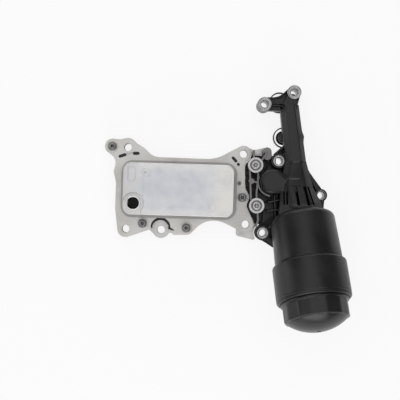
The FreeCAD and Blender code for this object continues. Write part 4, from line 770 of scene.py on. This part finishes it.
class MODULE_OT_cooler_cover(bpy.types.Operator):
    """Pressed cover of the plate stack with its embossings, rolled edge and port seat"""
    bl_idname = "oilcooler.cooler_cover"
    bl_label = "Cooler cover"

    def execute(self, context):
        cover = self.sheet(context.scene.cooler_sizes)
        piece("cover_sheet", [cover], "cover_aluminium", 40, ("cooler_cover",))
        # Black rubber in the plate's slots and round the ring lug is painted shade
        piece("painted_shade_tabs", self.tabs(), "moulded_rubber", 40)
        ring = lathe_part(PORT_RING_PROFILE, PORT_CENTRE, 96, 5, True)
        piece("port_ring", [ring], "ring_aluminium", 32, ("cooler_port_ring",))
        return {"FINISHED"}

    def sheet(self, sizes):
        """Cover: a flat height, plus each pressing's steps, less the sunk seat and the edge's quarter circle.
        Rows stand close near both long sides, as a sine does, and columns near both ends, as a power does."""
        a, b, radius = sizes.core_length / MM / 2, sizes.core_width / MM / 2, sizes.core_corner / MM
        edge, lift = sizes.cover_edge / MM, sizes.emboss / MM
        swing = math.pi / 2 * 0.999
        y = b * np.sin(np.linspace(-swing, swing, COVER_ROWS))[:, None] / math.sin(swing)
        past = np.maximum(np.abs(y) - b + radius, 0)
        reach = a - radius + np.sqrt(np.maximum(radius ** 2 - past ** 2, 0.0))
        column = np.linspace(-1, 1, COVER_COLUMNS)[None, :]
        x = CORE_CENTRE[0] + np.sign(column) * (1 - (1 - np.abs(column)) ** 1.15) * reach
        y = CORE_CENTRE[1] + y + 0 * x
        z = np.full_like(x, COVER_TOP)
        for centre_x, centre_y, size_x, size_y, corner, steps in COVER_PRESSINGS:
            depth = inside_box(x, y, (centre_x, centre_y), size_x, size_y, corner)
            for share, low, high in steps:
                z += share * lift * soft_step(depth, low, high)
        px, py = PORT_CENTRE
        seat = np.maximum(SEAT_RADIUS - np.hypot(x - px, y - py), np.minimum(px + 9.2 - x, py - y + 2.0))
        z -= SEAT_DEPTH * soft_step(seat, -0.25, 0.25)
        near = np.clip(1 - inside_box(x, y, CORE_CENTRE, 2 * a, 2 * b, radius) / edge, 0, 1)
        z -= edge * (1 - np.sqrt(1 - near ** 2))
        keep = np.hypot(quad_middles(x) - px, quad_middles(y) - py) > COVER_HOLE_RADIUS
        return sheet_part(np.stack([x, y, z], -1), STACK_TOP, keep)

    def tabs(self):
        """Painted shade: black rubber in the plate's slots, and a crescent of painted shadow: a rounded ridge
        carried round the ring lug, whose width is a power of the sine of its place along the arc."""
        top = BASE_TOP + SHADE_TAB_RISE
        tabs = [prism_part([(*first, radius), (*second, radius)], 11.2, top, 0.3)
                for first, second, radius in SHADE_TABS]
        count = 80
        turn = np.radians(np.linspace(*CRESCENT_ARC, count))
        ridge = rounded_line([(0, 10.2, 0), (0, top, 0.4), (1, top, 0.4), (1, 10.2, 0)], 4)
        wide = 0.9 + 2.3 * np.sin(np.linspace(0.1, math.pi - 0.1, count))[:, None, None] ** 0.6
        ray = np.stack([np.cos(turn), np.sin(turn)], -1)[:, None]
        flat = np.array(RING_LUG) + ray * (CRESCENT_RADIUS + wide * ridge[None, :, :1])
        height = np.broadcast_to(ridge[None, :, 1:], (count, len(ridge), 1))
        tabs.append(grid_part(np.concatenate([flat, height], -1)))
        tabs.append(prism_part(CRESCENT_HOOK, 10.2, top, 0.3))
        return tabs


class MODULE_OT_plate_stack(bpy.types.Operator):
    """Brazed stack of dished plates, each rim flared over the next, with the port's well"""
    bl_idname = "oilcooler.plate_stack"
    bl_label = "Plate stack"

    def execute(self, context):
        sizes = context.scene.cooler_sizes
        core = [size / MM for size in (sizes.core_length, sizes.core_width, sizes.core_corner)]
        path, normals = round_path(CORE_CENTRE, *core)
        pitch = (STACK_TOP - FOOT_TOP) / sizes.plates
        flare = sizes.lip / MM
        # one plate's rim: inset, and height as a share of the pitch
        rim = np.array([(flare, 0.0), (flare * 0.85, 0.22), (flare * 0.35, 0.6), (0.08, 0.84), (0.0, 0.92),
                        (0.12, 0.985)])
        level = np.arange(sizes.plates)[:, None] * pitch + FOOT_TOP
        inset = np.tile(rim[:, 0], (sizes.plates, 1))
        outer = np.stack([inset, level + rim[:, 1] * pitch], -1).reshape(-1, 2)
        inner = np.array([(6.0, STACK_TOP - 0.02), (6.0, FOOT_TOP), (flare, FOOT_TOP)])
        band = grid_part(carried(path, normals, np.concatenate([outer, inner])), ends=False)
        piece("stack_rims", [band], "braze_aluminium", 50, ("cooler_stack",))
        piece("port_well", [lathe_part(WELL_PROFILE, PORT_CENTRE)], "inner_plastic")
        return {"FINISHED"}


class MODULE_OT_plate_screws(bpy.types.Operator):
    """Screws of the cooler's base plate and of the joint bosses, with six-lobed recesses"""
    bl_idname = "oilcooler.plate_screws"
    bl_label = "Screws"

    def execute(self, context):
        heads = [self.screw(place, *PLATE_SCREW) for place in PLATE_SCREWS]
        piece("plate_screw_heads", heads, "screw_steel", 32, ("cooler_screws",))
        heads = [self.screw(place, *JOINT_SCREW) for place in JOINT_BOSSES]
        piece("joint_screw_heads", heads, "sleeve_steel", 32, ("joint_screws",))
        return {"FINISHED"}

    def screw(self, place, seat, washer, head, recess, washer_height, height, foot):
        """Turned screw whose recess is a lobed circle: its radius times 1 plus the lobes' depth times the cosine
        of their number times the angle."""
        rim, top = seat + washer_height, seat + height
        line = rounded_line([(0, foot, 0), (SHANK_RADIUS, foot, 0.4), (SHANK_RADIUS, seat, 0),
                             (washer, seat, 0.2), (washer, rim, 0.4), (head + 0.3, rim, 0.3), (head, top, 0.6),
                             (recess, top, 0.25), (recess - 0.1, top - 2.4, 0.2), (0, top - 3.9, 0)], 5)
        points = turned(line, 72)
        u = np.linspace(0, 2 * math.pi, 72, endpoint=False)[None, :, None]
        lobed = ((line[:, :1] < recess + 0.3) & (np.arange(len(line)) > len(line) / 2)[:, None])[:, :, None]
        points[..., :2] *= np.where(lobed, 1 + LOBE_DEPTH * np.cos(LOBES * u), 1.0)
        return grid_part(upright(points, place), ends=False)


class MODULE_OT_sleeves(bpy.types.Operator):
    """Turned compression sleeves of the arm and the flange"""
    bl_idname = "oilcooler.sleeves"
    bl_label = "Sleeves"

    def execute(self, context):
        rings = [lathe_part(ARM_SLEEVE_PROFILE, place, 96, 4, True) for place in ARM_EARS]
        piece("arm_sleeve_rings", rings, "sleeve_steel", 32, ("arm_sleeves",))
        tubes = []
        for boss in FLANGE_BOSSES:
            place, sleeve = boss[0], boss[2] - SLEEVE_GAP
            line = [(4.2, 0.4, 0), (4.6, 0, 0), (sleeve, 0, 0.3), (sleeve, 28.0, 0.6), (5.0, 28.0, 0.3),
                    (4.2, 27.1, 0.3)]
            tubes.append(lathe_part(line, place, 96, 4, True))
        piece("flange_sleeve_tubes", tubes, "sleeve_steel", 32, ("flange_sleeves",))
        return {"FINISHED"}


class MODULE_OT_filter_bowl(bpy.types.Operator):
    """Bowl of the filter housing with its shoulder, stepped collar and lip"""
    bl_idname = "oilcooler.filter_bowl"
    bl_label = "Filter bowl"

    def execute(self, context):
        sizes = context.scene.housing_sizes
        bowl, collar, lip = sizes.bowl_radius / MM, sizes.collar_radius / MM, sizes.lip_end / MM
        shoulder = [(0, -61.0, 0), (21.5, -61.0, 12.0), (bowl - 1.9, -53.2, 7.0), (bowl, 0.6, 0.5),
                    (bowl - 0.5, 1.5, 0.5), (bowl + 0.9, 2.2, 0.5)]
        outside = [(collar - 0.4, 4.0, 2.6), (collar - 0.25, 12.0, 0), (collar, lip - 6.0, 0.4),
                   (collar - 0.35, lip - 5.4, 0.3), (collar - 0.1, lip - 4.8, 0.4), (collar, lip, 3.4)]
        mouth = [(39.9, lip, 0.5), (39.6, lip - 0.6, 0.2), (39.1, lip - 0.6, 0.2), (38.9, lip, 0.3),
                 (36.6, lip, 0.4), (36.6, lip - 12.8, 0.3), (34.6, lip - 14.8, 0.3), (33.8, -57.2, 8.0),
                 (0, -57.2, 0)]
        moulding("bowl_shell", [lathe_part(shoulder + outside + mouth, None, 160, 9)], 40)
        return {"FINISHED"}


class MODULE_OT_ribbed_transition(bpy.types.Operator):
    """Transition from the neck to the bowl, with the grooves that leave its ribs standing"""
    bl_idname = "oilcooler.ribbed_transition"
    bl_label = "Ribbed transition"

    def execute(self, context):
        moulding("transition_ribs", [self.ribbed(context.scene.housing_sizes.groove_floor / MM)])
        return {"FINISHED"}

    def ribbed(self, groove_floor):
        """Height over a grid: the sections' top, which falls away at their chamfer as a soft ramp, half the sum
        of d and the root of d squared plus 4. Grooves pull it down to their floor, and the ledge over the ribs,
        the band that closes their lower ends and the seam to the neck lift it, by products of smooth steps."""
        y = np.linspace(37.2, -30.0, 120)[:, None]
        across = np.linspace(-1, 1, 340)[None, :]
        order = TRANSITION[::-1]
        middle, width, top, chamfer = [np.interp(y, order[:, 0], order[:, column]) for column in (1, 2, 3, 4)]
        x = middle + across * width / 2
        beyond = np.abs(x - middle) - (width / 2 - chamfer)
        z = top - 0.5 * (beyond + np.sqrt(beyond ** 2 + 4.0)) + 0.2
        y = y + 0 * x
        share = soft_band(y, GROOVE_LOW_Y - 0.6, GROOVE_LOW_Y + 0.2, GROOVE_TOP_Y - 0.5, GROOVE_TOP_Y + 0.3)
        for top_x, low_x, groove_width in GROOVES:
            line_x = low_x + (top_x - low_x) * (y - GROOVE_LOW_Y) / (GROOVE_TOP_Y - GROOVE_LOW_Y)
            cut = soft_step(groove_width / 2 - np.abs(x - line_x), -0.15, 0.25) * share
            z = z - cut * np.maximum(z - groove_floor, 0)
        ledge = soft_band(y, GROOVE_TOP_Y + 0.8, GROOVE_TOP_Y + 1.4, 15.6, 16.6)
        z = z + 0.7 * ledge * soft_step(np.minimum(x - LEDGE_X[0], LEDGE_X[1] - x), 0, 1.0)
        band = soft_band(y, GROOVE_LOW_Y - 4.4, GROOVE_LOW_Y - 3.8, GROOVE_LOW_Y - 1.2, GROOVE_LOW_Y - 0.4)
        z = z + band * soft_step(np.minimum(x - BAND_X[0], BAND_X[1] - x), 0, 1.0)
        z = z + 0.5 * (1 - soft_step(np.abs(y - SEAM_Y), 0.3, 0.9))
        return sheet_part(np.stack([x, y, z], -1), 1.0, np.ones_like(quad_middles(z), bool))


class MODULE_OT_housing_neck(bpy.types.Operator):
    """Neck with its flat sides, the two-eared arm at its head, and the port tubes behind it"""
    bl_idname = "oilcooler.housing_neck"
    bl_label = "Neck and arm"

    def execute(self, context):
        sections = np.stack([self.section(share) for share in np.linspace(0, 1, 24)])
        moulding("neck_tube", [grid_part(sections)], 40)
        arm = [prism_part(ARM_OUTLINE, 14.0, 26.0, 0.6, 0.9, ARM_BITES), rim_part(ARM_OUTLINE, 1.8, 25.0, 31.0),
               prism_part(ARM_HEAD, 25.0, 30.8, 0.6)]
        for shift in (-ARM_WALL_SHIFT, ARM_WALL_SHIFT):
            ends = [(x, y + shift) for x, y in ARM_WALL]
            arm.append(slot_part(*ends, 1.0, 25.0, 30.0, 0.3))
        arm += [ring_part(place, 7.9, 6.02, 2.0, 32.0) for place in ARM_EARS]
        moulding("arm_and_ears", arm)
        ports = []
        for place in PORTS:
            ports.append(lathe_part(PORT_TUBE_PROFILE, place, 72, 4, True))
            ports.append(ring_part(place, 12.4, 11.1, 2.0, 11.0, 0.4))
        moulding("port_tubes", ports)
        return {"FINISHED"}

    def section(self, share):
        """Eight rounded corners about a point between the neck's ends. Width and top grow evenly, and the right
        side stands out by a bell curve of its distance from the bump."""
        x, y = [high + share * (low - high) for high, low in zip(NECK_HIGH, NECK_LOW)]
        half, top = NECK_HALF_WIDTH + share, NECK_TOP + share * 3.0
        bump_y, bump, spread = NECK_BUMP
        right = half + bump * math.exp(-((y - bump_y) / spread) ** 2)
        corners = [(-half, 12.0, 2.0), (-half + 5, 9.0, 2.0), (half - 5, 9.0, 2.0), (right, 12.0, 2.0),
                   (right, top - 7.5, 2.2), (half - 6.0, top, 2.2), (-half + 6.4, top, 2.2),
                   (-half, top - 7.5, 2.2)]
        ring = rounded_line(corners, 5, True)[:-1]
        return np.stack([x + ring[:, 0], np.full(len(ring), y), ring[:, 1]], -1)


class MODULE_OT_housing_flange(bpy.types.Operator):
    """Flange of the housing with its bosses, webs, valve dome and the floor in the carrier's pocket"""
    bl_idname = "oilcooler.housing_flange"
    bl_label = "Flange and dome"

    def execute(self, context):
        radius = context.scene.housing_sizes.dome_radius / MM
        parts = [prism_part(FLANGE_OUTLINE, 0.0, FLANGE_THICK, 0.8, 0.9, FLANGE_BITES)]
        parts += [ring_part(*boss, 0.0, FLANGE_BOSS_TOP, 0.8) for boss in FLANGE_BOSSES]
        bosses = [boss[0] for boss in FLANGE_BOSSES]
        for first, second, width, top in FLANGE_WEBS:
            run = np.subtract(second, first)
            start = np.add(first, run / np.hypot(*run) * WEB_START) if first in bosses else first
            parts.append(slot_part(tuple(start), second, width, 1.0, top, 0.6))
        moulding("flange_and_webs", parts)
        x, y = DOME_CENTRE
        dome = prism_part([(x, y, radius), (x + 18.6, y + 13.4, -8.0), (x + 27.1, y - 4.6, radius - 4.6)],
                          0.4, DOME_TOP, 4.6)
        moulding("valve_dome", [dome, ring_part(DOME_CENTRE, radius + 0.7, radius - 1.0, 0.4, 22.0, 0.5)])
        moulding("pocket_floor", [self.pocket_floor()])
        return {"FINISHED"}

    def pocket_floor(self):
        """Floor between plate and housing: a level plus a ripple, a sine along X times a sine along Y."""
        y, x = np.meshgrid(np.linspace(*POCKET_Y, 150), np.linspace(*POCKET_X, 90), indexing="ij")
        plate = [(px, py, r + POCKET_GAP) for px, py, r in PLATE_OUTLINE]
        keep = ~in_outline(plate, quad_middles(x), quad_middles(y))
        height = POCKET_LEVEL + 0.2 * np.sin(y * 0.9) * np.sin(x * 0.7)
        return sheet_part(np.stack([x, y, height], -1), 0.02, keep)


class MODULE_OT_filter_cap(bpy.types.Operator):
    """Screw cap: fourteen flats, domed bottom, sealing tube and thread"""
    bl_idname = "oilcooler.filter_cap"
    bl_label = "Filter cap"

    def execute(self, context):
        sizes = context.scene.cap_sizes
        shell = self.shell(sizes, context.scene.housing_sizes.lip_end / MM + 0.3)
        clip = lathe_part(CLIP_PROFILE, None, 96, 4, True)
        thread = self.thread(sizes.pitch / MM)
        for name, part, sharp, replaced in (("cap_shell", shell, 18, ("filter_cap",)),
                                            ("cap_clip_ring", clip, 32, ()), ("cap_thread", thread, 32, ())):
            piece(name, [part], "cap_plastic", sharp, replaced, "screw_cap")
        return {"FINISHED"}

    def shell(self, sizes, flange_low):
        """Turned shell with a spherical crown. On the wrench end its radius is a polygon's, the apothem over the
        cosine of the angle from each flat's middle, cut off just short of its corners. Columns stand close
        together at each corner."""
        apothem, dome = sizes.flats / MM / 2, sizes.dome / MM
        half = math.pi / sizes.sides
        corner = apothem / math.cos(half)
        share = np.array([-1.0, -0.93, -0.86, -0.6, -0.2, 0.2, 0.6, 0.86, 0.93])
        facet = np.arange(sizes.sides)[:, None] * 2 * half
        angle = (facet + share[None] * half).reshape(-1) + half + math.pi / 2 + CAP_REST_TURN
        flat = np.minimum(apothem / np.cos(np.tile(share * half, sizes.sides)), corner - 0.28) / corner
        dome_top = CAP_EDGE + dome
        shoulder = corner - 3.5
        sphere = (shoulder ** 2 + dome ** 2) / (2 * dome)
        swing = np.linspace(math.asin(PIP_RADIUS / sphere), math.asin(shoulder / sphere), 26)
        crown = np.stack([sphere * np.sin(swing), dome_top - sphere + sphere * np.cos(swing)], -1)
        pip = rounded_line([(0, dome_top - 1.2, 0), (1.6, dome_top - 1.0, 0.5), (2.6, dome_top - 0.2, 0.5),
                            (*crown[0], 0)], 4)
        wall = rounded_line([(*crown[-1], 0), (corner, CAP_EDGE - 1.4, 1.3), (corner, flange_low + 3.0, 1.0),
                             (CAP_FLANGE_RADIUS, flange_low + 2.0, 0.5), (CAP_FLANGE_RADIUS, flange_low, 0.3),
                             (36.1, flange_low, 0.2), *CAP_TUBE_PROFILE], 6)
        line = np.concatenate([pip[:-1], crown, wall[1:]])
        r, h = line[:, :1], line[:, 1:]
        faceted = soft_step(h, flange_low + 2.2, flange_low + 3.4)
        faceted = faceted * soft_step(r, corner * 0.86, corner * 0.97)
        inner = (np.arange(len(line)) > np.argmax(line[:, 0] > CAP_FLANGE_RADIUS - 0.2) + 3)[:, None]
        radius = r * (1 + np.where(inner, 0.0, faceted) * (flat[None] - 1))
        points = np.stack([radius * np.cos(angle), radius * np.sin(angle), h + 0 * radius], -1)
        return grid_part(on_filter_axis(points), ends=False)

    def thread(self, pitch):
        """Ridge carried along a helix: its height grows with the turn, and both its ends fade into the tube."""
        turn = np.linspace(0, 2 * math.pi * 0.95, 220)
        fade = np.minimum(1, np.minimum(turn, turn[-1] - turn) / 0.25)
        radius = THREAD_ROOT + (THREAD_RIDGE[None, :, 0] - THREAD_ROOT) * fade[:, None]
        height = THREAD_START + turn[:, None] * pitch / (2 * math.pi) + THREAD_RIDGE[None, :, 1] * 0.5
        points = np.stack([radius * np.cos(turn)[:, None], radius * np.sin(turn)[:, None], height], -1)
        return grid_part(on_filter_axis(points))


class MODULE_OT_stage(bpy.types.Operator):
    """Pale floor, soft studio light and the camera"""
    bl_idname = "oilcooler.stage"
    bl_label = "Stage"

    def execute(self, context):
        scene = context.scene
        sizes = scene.stage_sizes
        mesh = bpy.data.meshes.new("floor")
        half, level = FLOOR_HALF, FLOOR_LEVEL
        corners = [(-half, -half, level), (half, -half, level), (half, half, level), (-half, half, level)]
        mesh.from_pydata(corners, [], [(0, 1, 2, 3)])
        floor = bpy.data.objects.new("floor", mesh)
        scene.collection.objects.link(floor)
        mesh.materials.append(self.floor_finish())
        self.world(scene)
        for name, place, size_x, size_y, share in SOFTBOXES:
            full = sizes.overhead if name == "overhead" else sizes.side
            self.softbox(name, place, size_x, size_y, share * full)
        camera = bpy.data.objects.new("camera", bpy.data.cameras.new("camera"))
        scene.collection.objects.link(camera)
        camera.location = (sizes.camera_x, sizes.camera_y, sizes.camera_height)
        camera.rotation_euler = (0, 0, sizes.roll)
        camera.data.sensor_fit = "HORIZONTAL"
        camera.data.angle = 2 * math.atan(sizes.view_width / 2 / (sizes.camera_height - VIEW_LEVEL))
        camera.data.clip_end = 20
        scene.camera = camera
        scene.view_settings.view_transform = "Standard"
        return {"FINISHED"}

    def softbox(self, name, place, size_x, size_y, energy):
        """Area light that faces the module's middle."""
        data = bpy.data.lights.new(name, "AREA")
        data.shape = "RECTANGLE"
        data.size, data.size_y, data.energy = size_x, size_y, energy
        light = bpy.data.objects.new(name, data)
        bpy.context.scene.collection.objects.link(light)
        light.location = place
        light.rotation_euler = (Vector(LIGHT_TARGET) - Vector(place)).to_track_quat("-Z", "Y").to_euler()

    def floor_finish(self):
        """White floor that keeps a pale shadow: mostly plain white where it's seen, and a share of it lit."""
        material = bpy.data.materials.new("floor_white")
        material.use_nodes = True
        tree = material.node_tree
        tree.nodes.clear()
        rays = wired(tree, "LightPath", None, {}).outputs
        seen = rays["Is Camera Ray"]
        for kind in ("Is Transmission Ray", "Is Glossy Ray"):
            seen = wired(tree, "Math", 0, {0: seen, 1: rays[kind]}, operation="MAXIMUM")
        share = wired(tree, "Math", 0, {0: seen, 1: FLOOR_PLAIN_SHARE}, operation="MULTIPLY")
        lit = wired(tree, "BsdfDiffuse", 0, {"Color": (FLOOR_WHITE, FLOOR_WHITE, FLOOR_WHITE, 1)})
        plain = wired(tree, "Emission", 0, {"Strength": 1.0})
        mix = wired(tree, "MixShader", 0, {0: share, 1: lit, 2: plain})
        wired(tree, "OutputMaterial", None, {"Surface": mix})
        return material

    def world(self, scene):
        """Even grey light, white where the camera sees it."""
        scene.world = bpy.data.worlds.new("studio")
        scene.world.use_nodes = True
        tree = scene.world.node_tree
        back = tree.nodes["Background"]
        back.inputs["Color"].default_value = (1, 1, 1, 1)
        seen = wired(tree, "LightPath", "Is Camera Ray", {})
        level = wired(tree, "MapRange", "Result", {"Value": seen, "To Min": WORLD_LIGHT, "To Max": 1.0})
        tree.links.new(level, back.inputs["Strength"])


class MODULE_PT_panel(bpy.types.Panel):
    """Lists the sizes and the steps"""
    bl_idname = "MODULE_PT_panel"
    bl_label = "Oil cooler module"
    bl_space_type = "VIEW_3D"
    bl_region_type = "UI"
    bl_category = "Oil cooler"

    def draw(self, context):
        for name in SETTINGS:
            box = self.layout.box()
            group = getattr(context.scene, name)
            for field in group.__annotations__:
                box.prop(group, field)
        for operator in OPERATORS:
            self.layout.operator(operator.bl_idname)


SETTINGS = {"cooler_sizes": CoolerSizes, "housing_sizes": HousingSizes, "cap_sizes": CapSizes,
            "finish_colours": FinishColours, "stage_sizes": StageSizes}
OPERATORS = [MODULE_OT_stage, MODULE_OT_finishes, MODULE_OT_cooler_cover, MODULE_OT_plate_stack,
             MODULE_OT_plate_screws, MODULE_OT_sleeves, MODULE_OT_filter_bowl, MODULE_OT_ribbed_transition,
             MODULE_OT_housing_neck, MODULE_OT_housing_flange, MODULE_OT_filter_cap]


def register():
    for name, group in SETTINGS.items():
        bpy.utils.register_class(group)
        setattr(bpy.types.Scene, name, bpy.props.PointerProperty(type=group))
    for operator in OPERATORS:
        bpy.utils.register_class(operator)
    bpy.utils.register_class(MODULE_PT_panel)


def unregister():
    bpy.utils.unregister_class(MODULE_PT_panel)
    for operator in reversed(OPERATORS):
        bpy.utils.unregister_class(operator)
    for name, group in SETTINGS.items():
        delattr(bpy.types.Scene, name)
        bpy.utils.unregister_class(group)


def main():
    register()
    for operator in OPERATORS:
        module, name = operator.bl_idname.split(".")
        if getattr(getattr(bpy.ops, module), name)() != {"FINISHED"}:
            raise RuntimeError(operator.bl_label + " didn't finish")


if __name__ == "__main__":
    main()
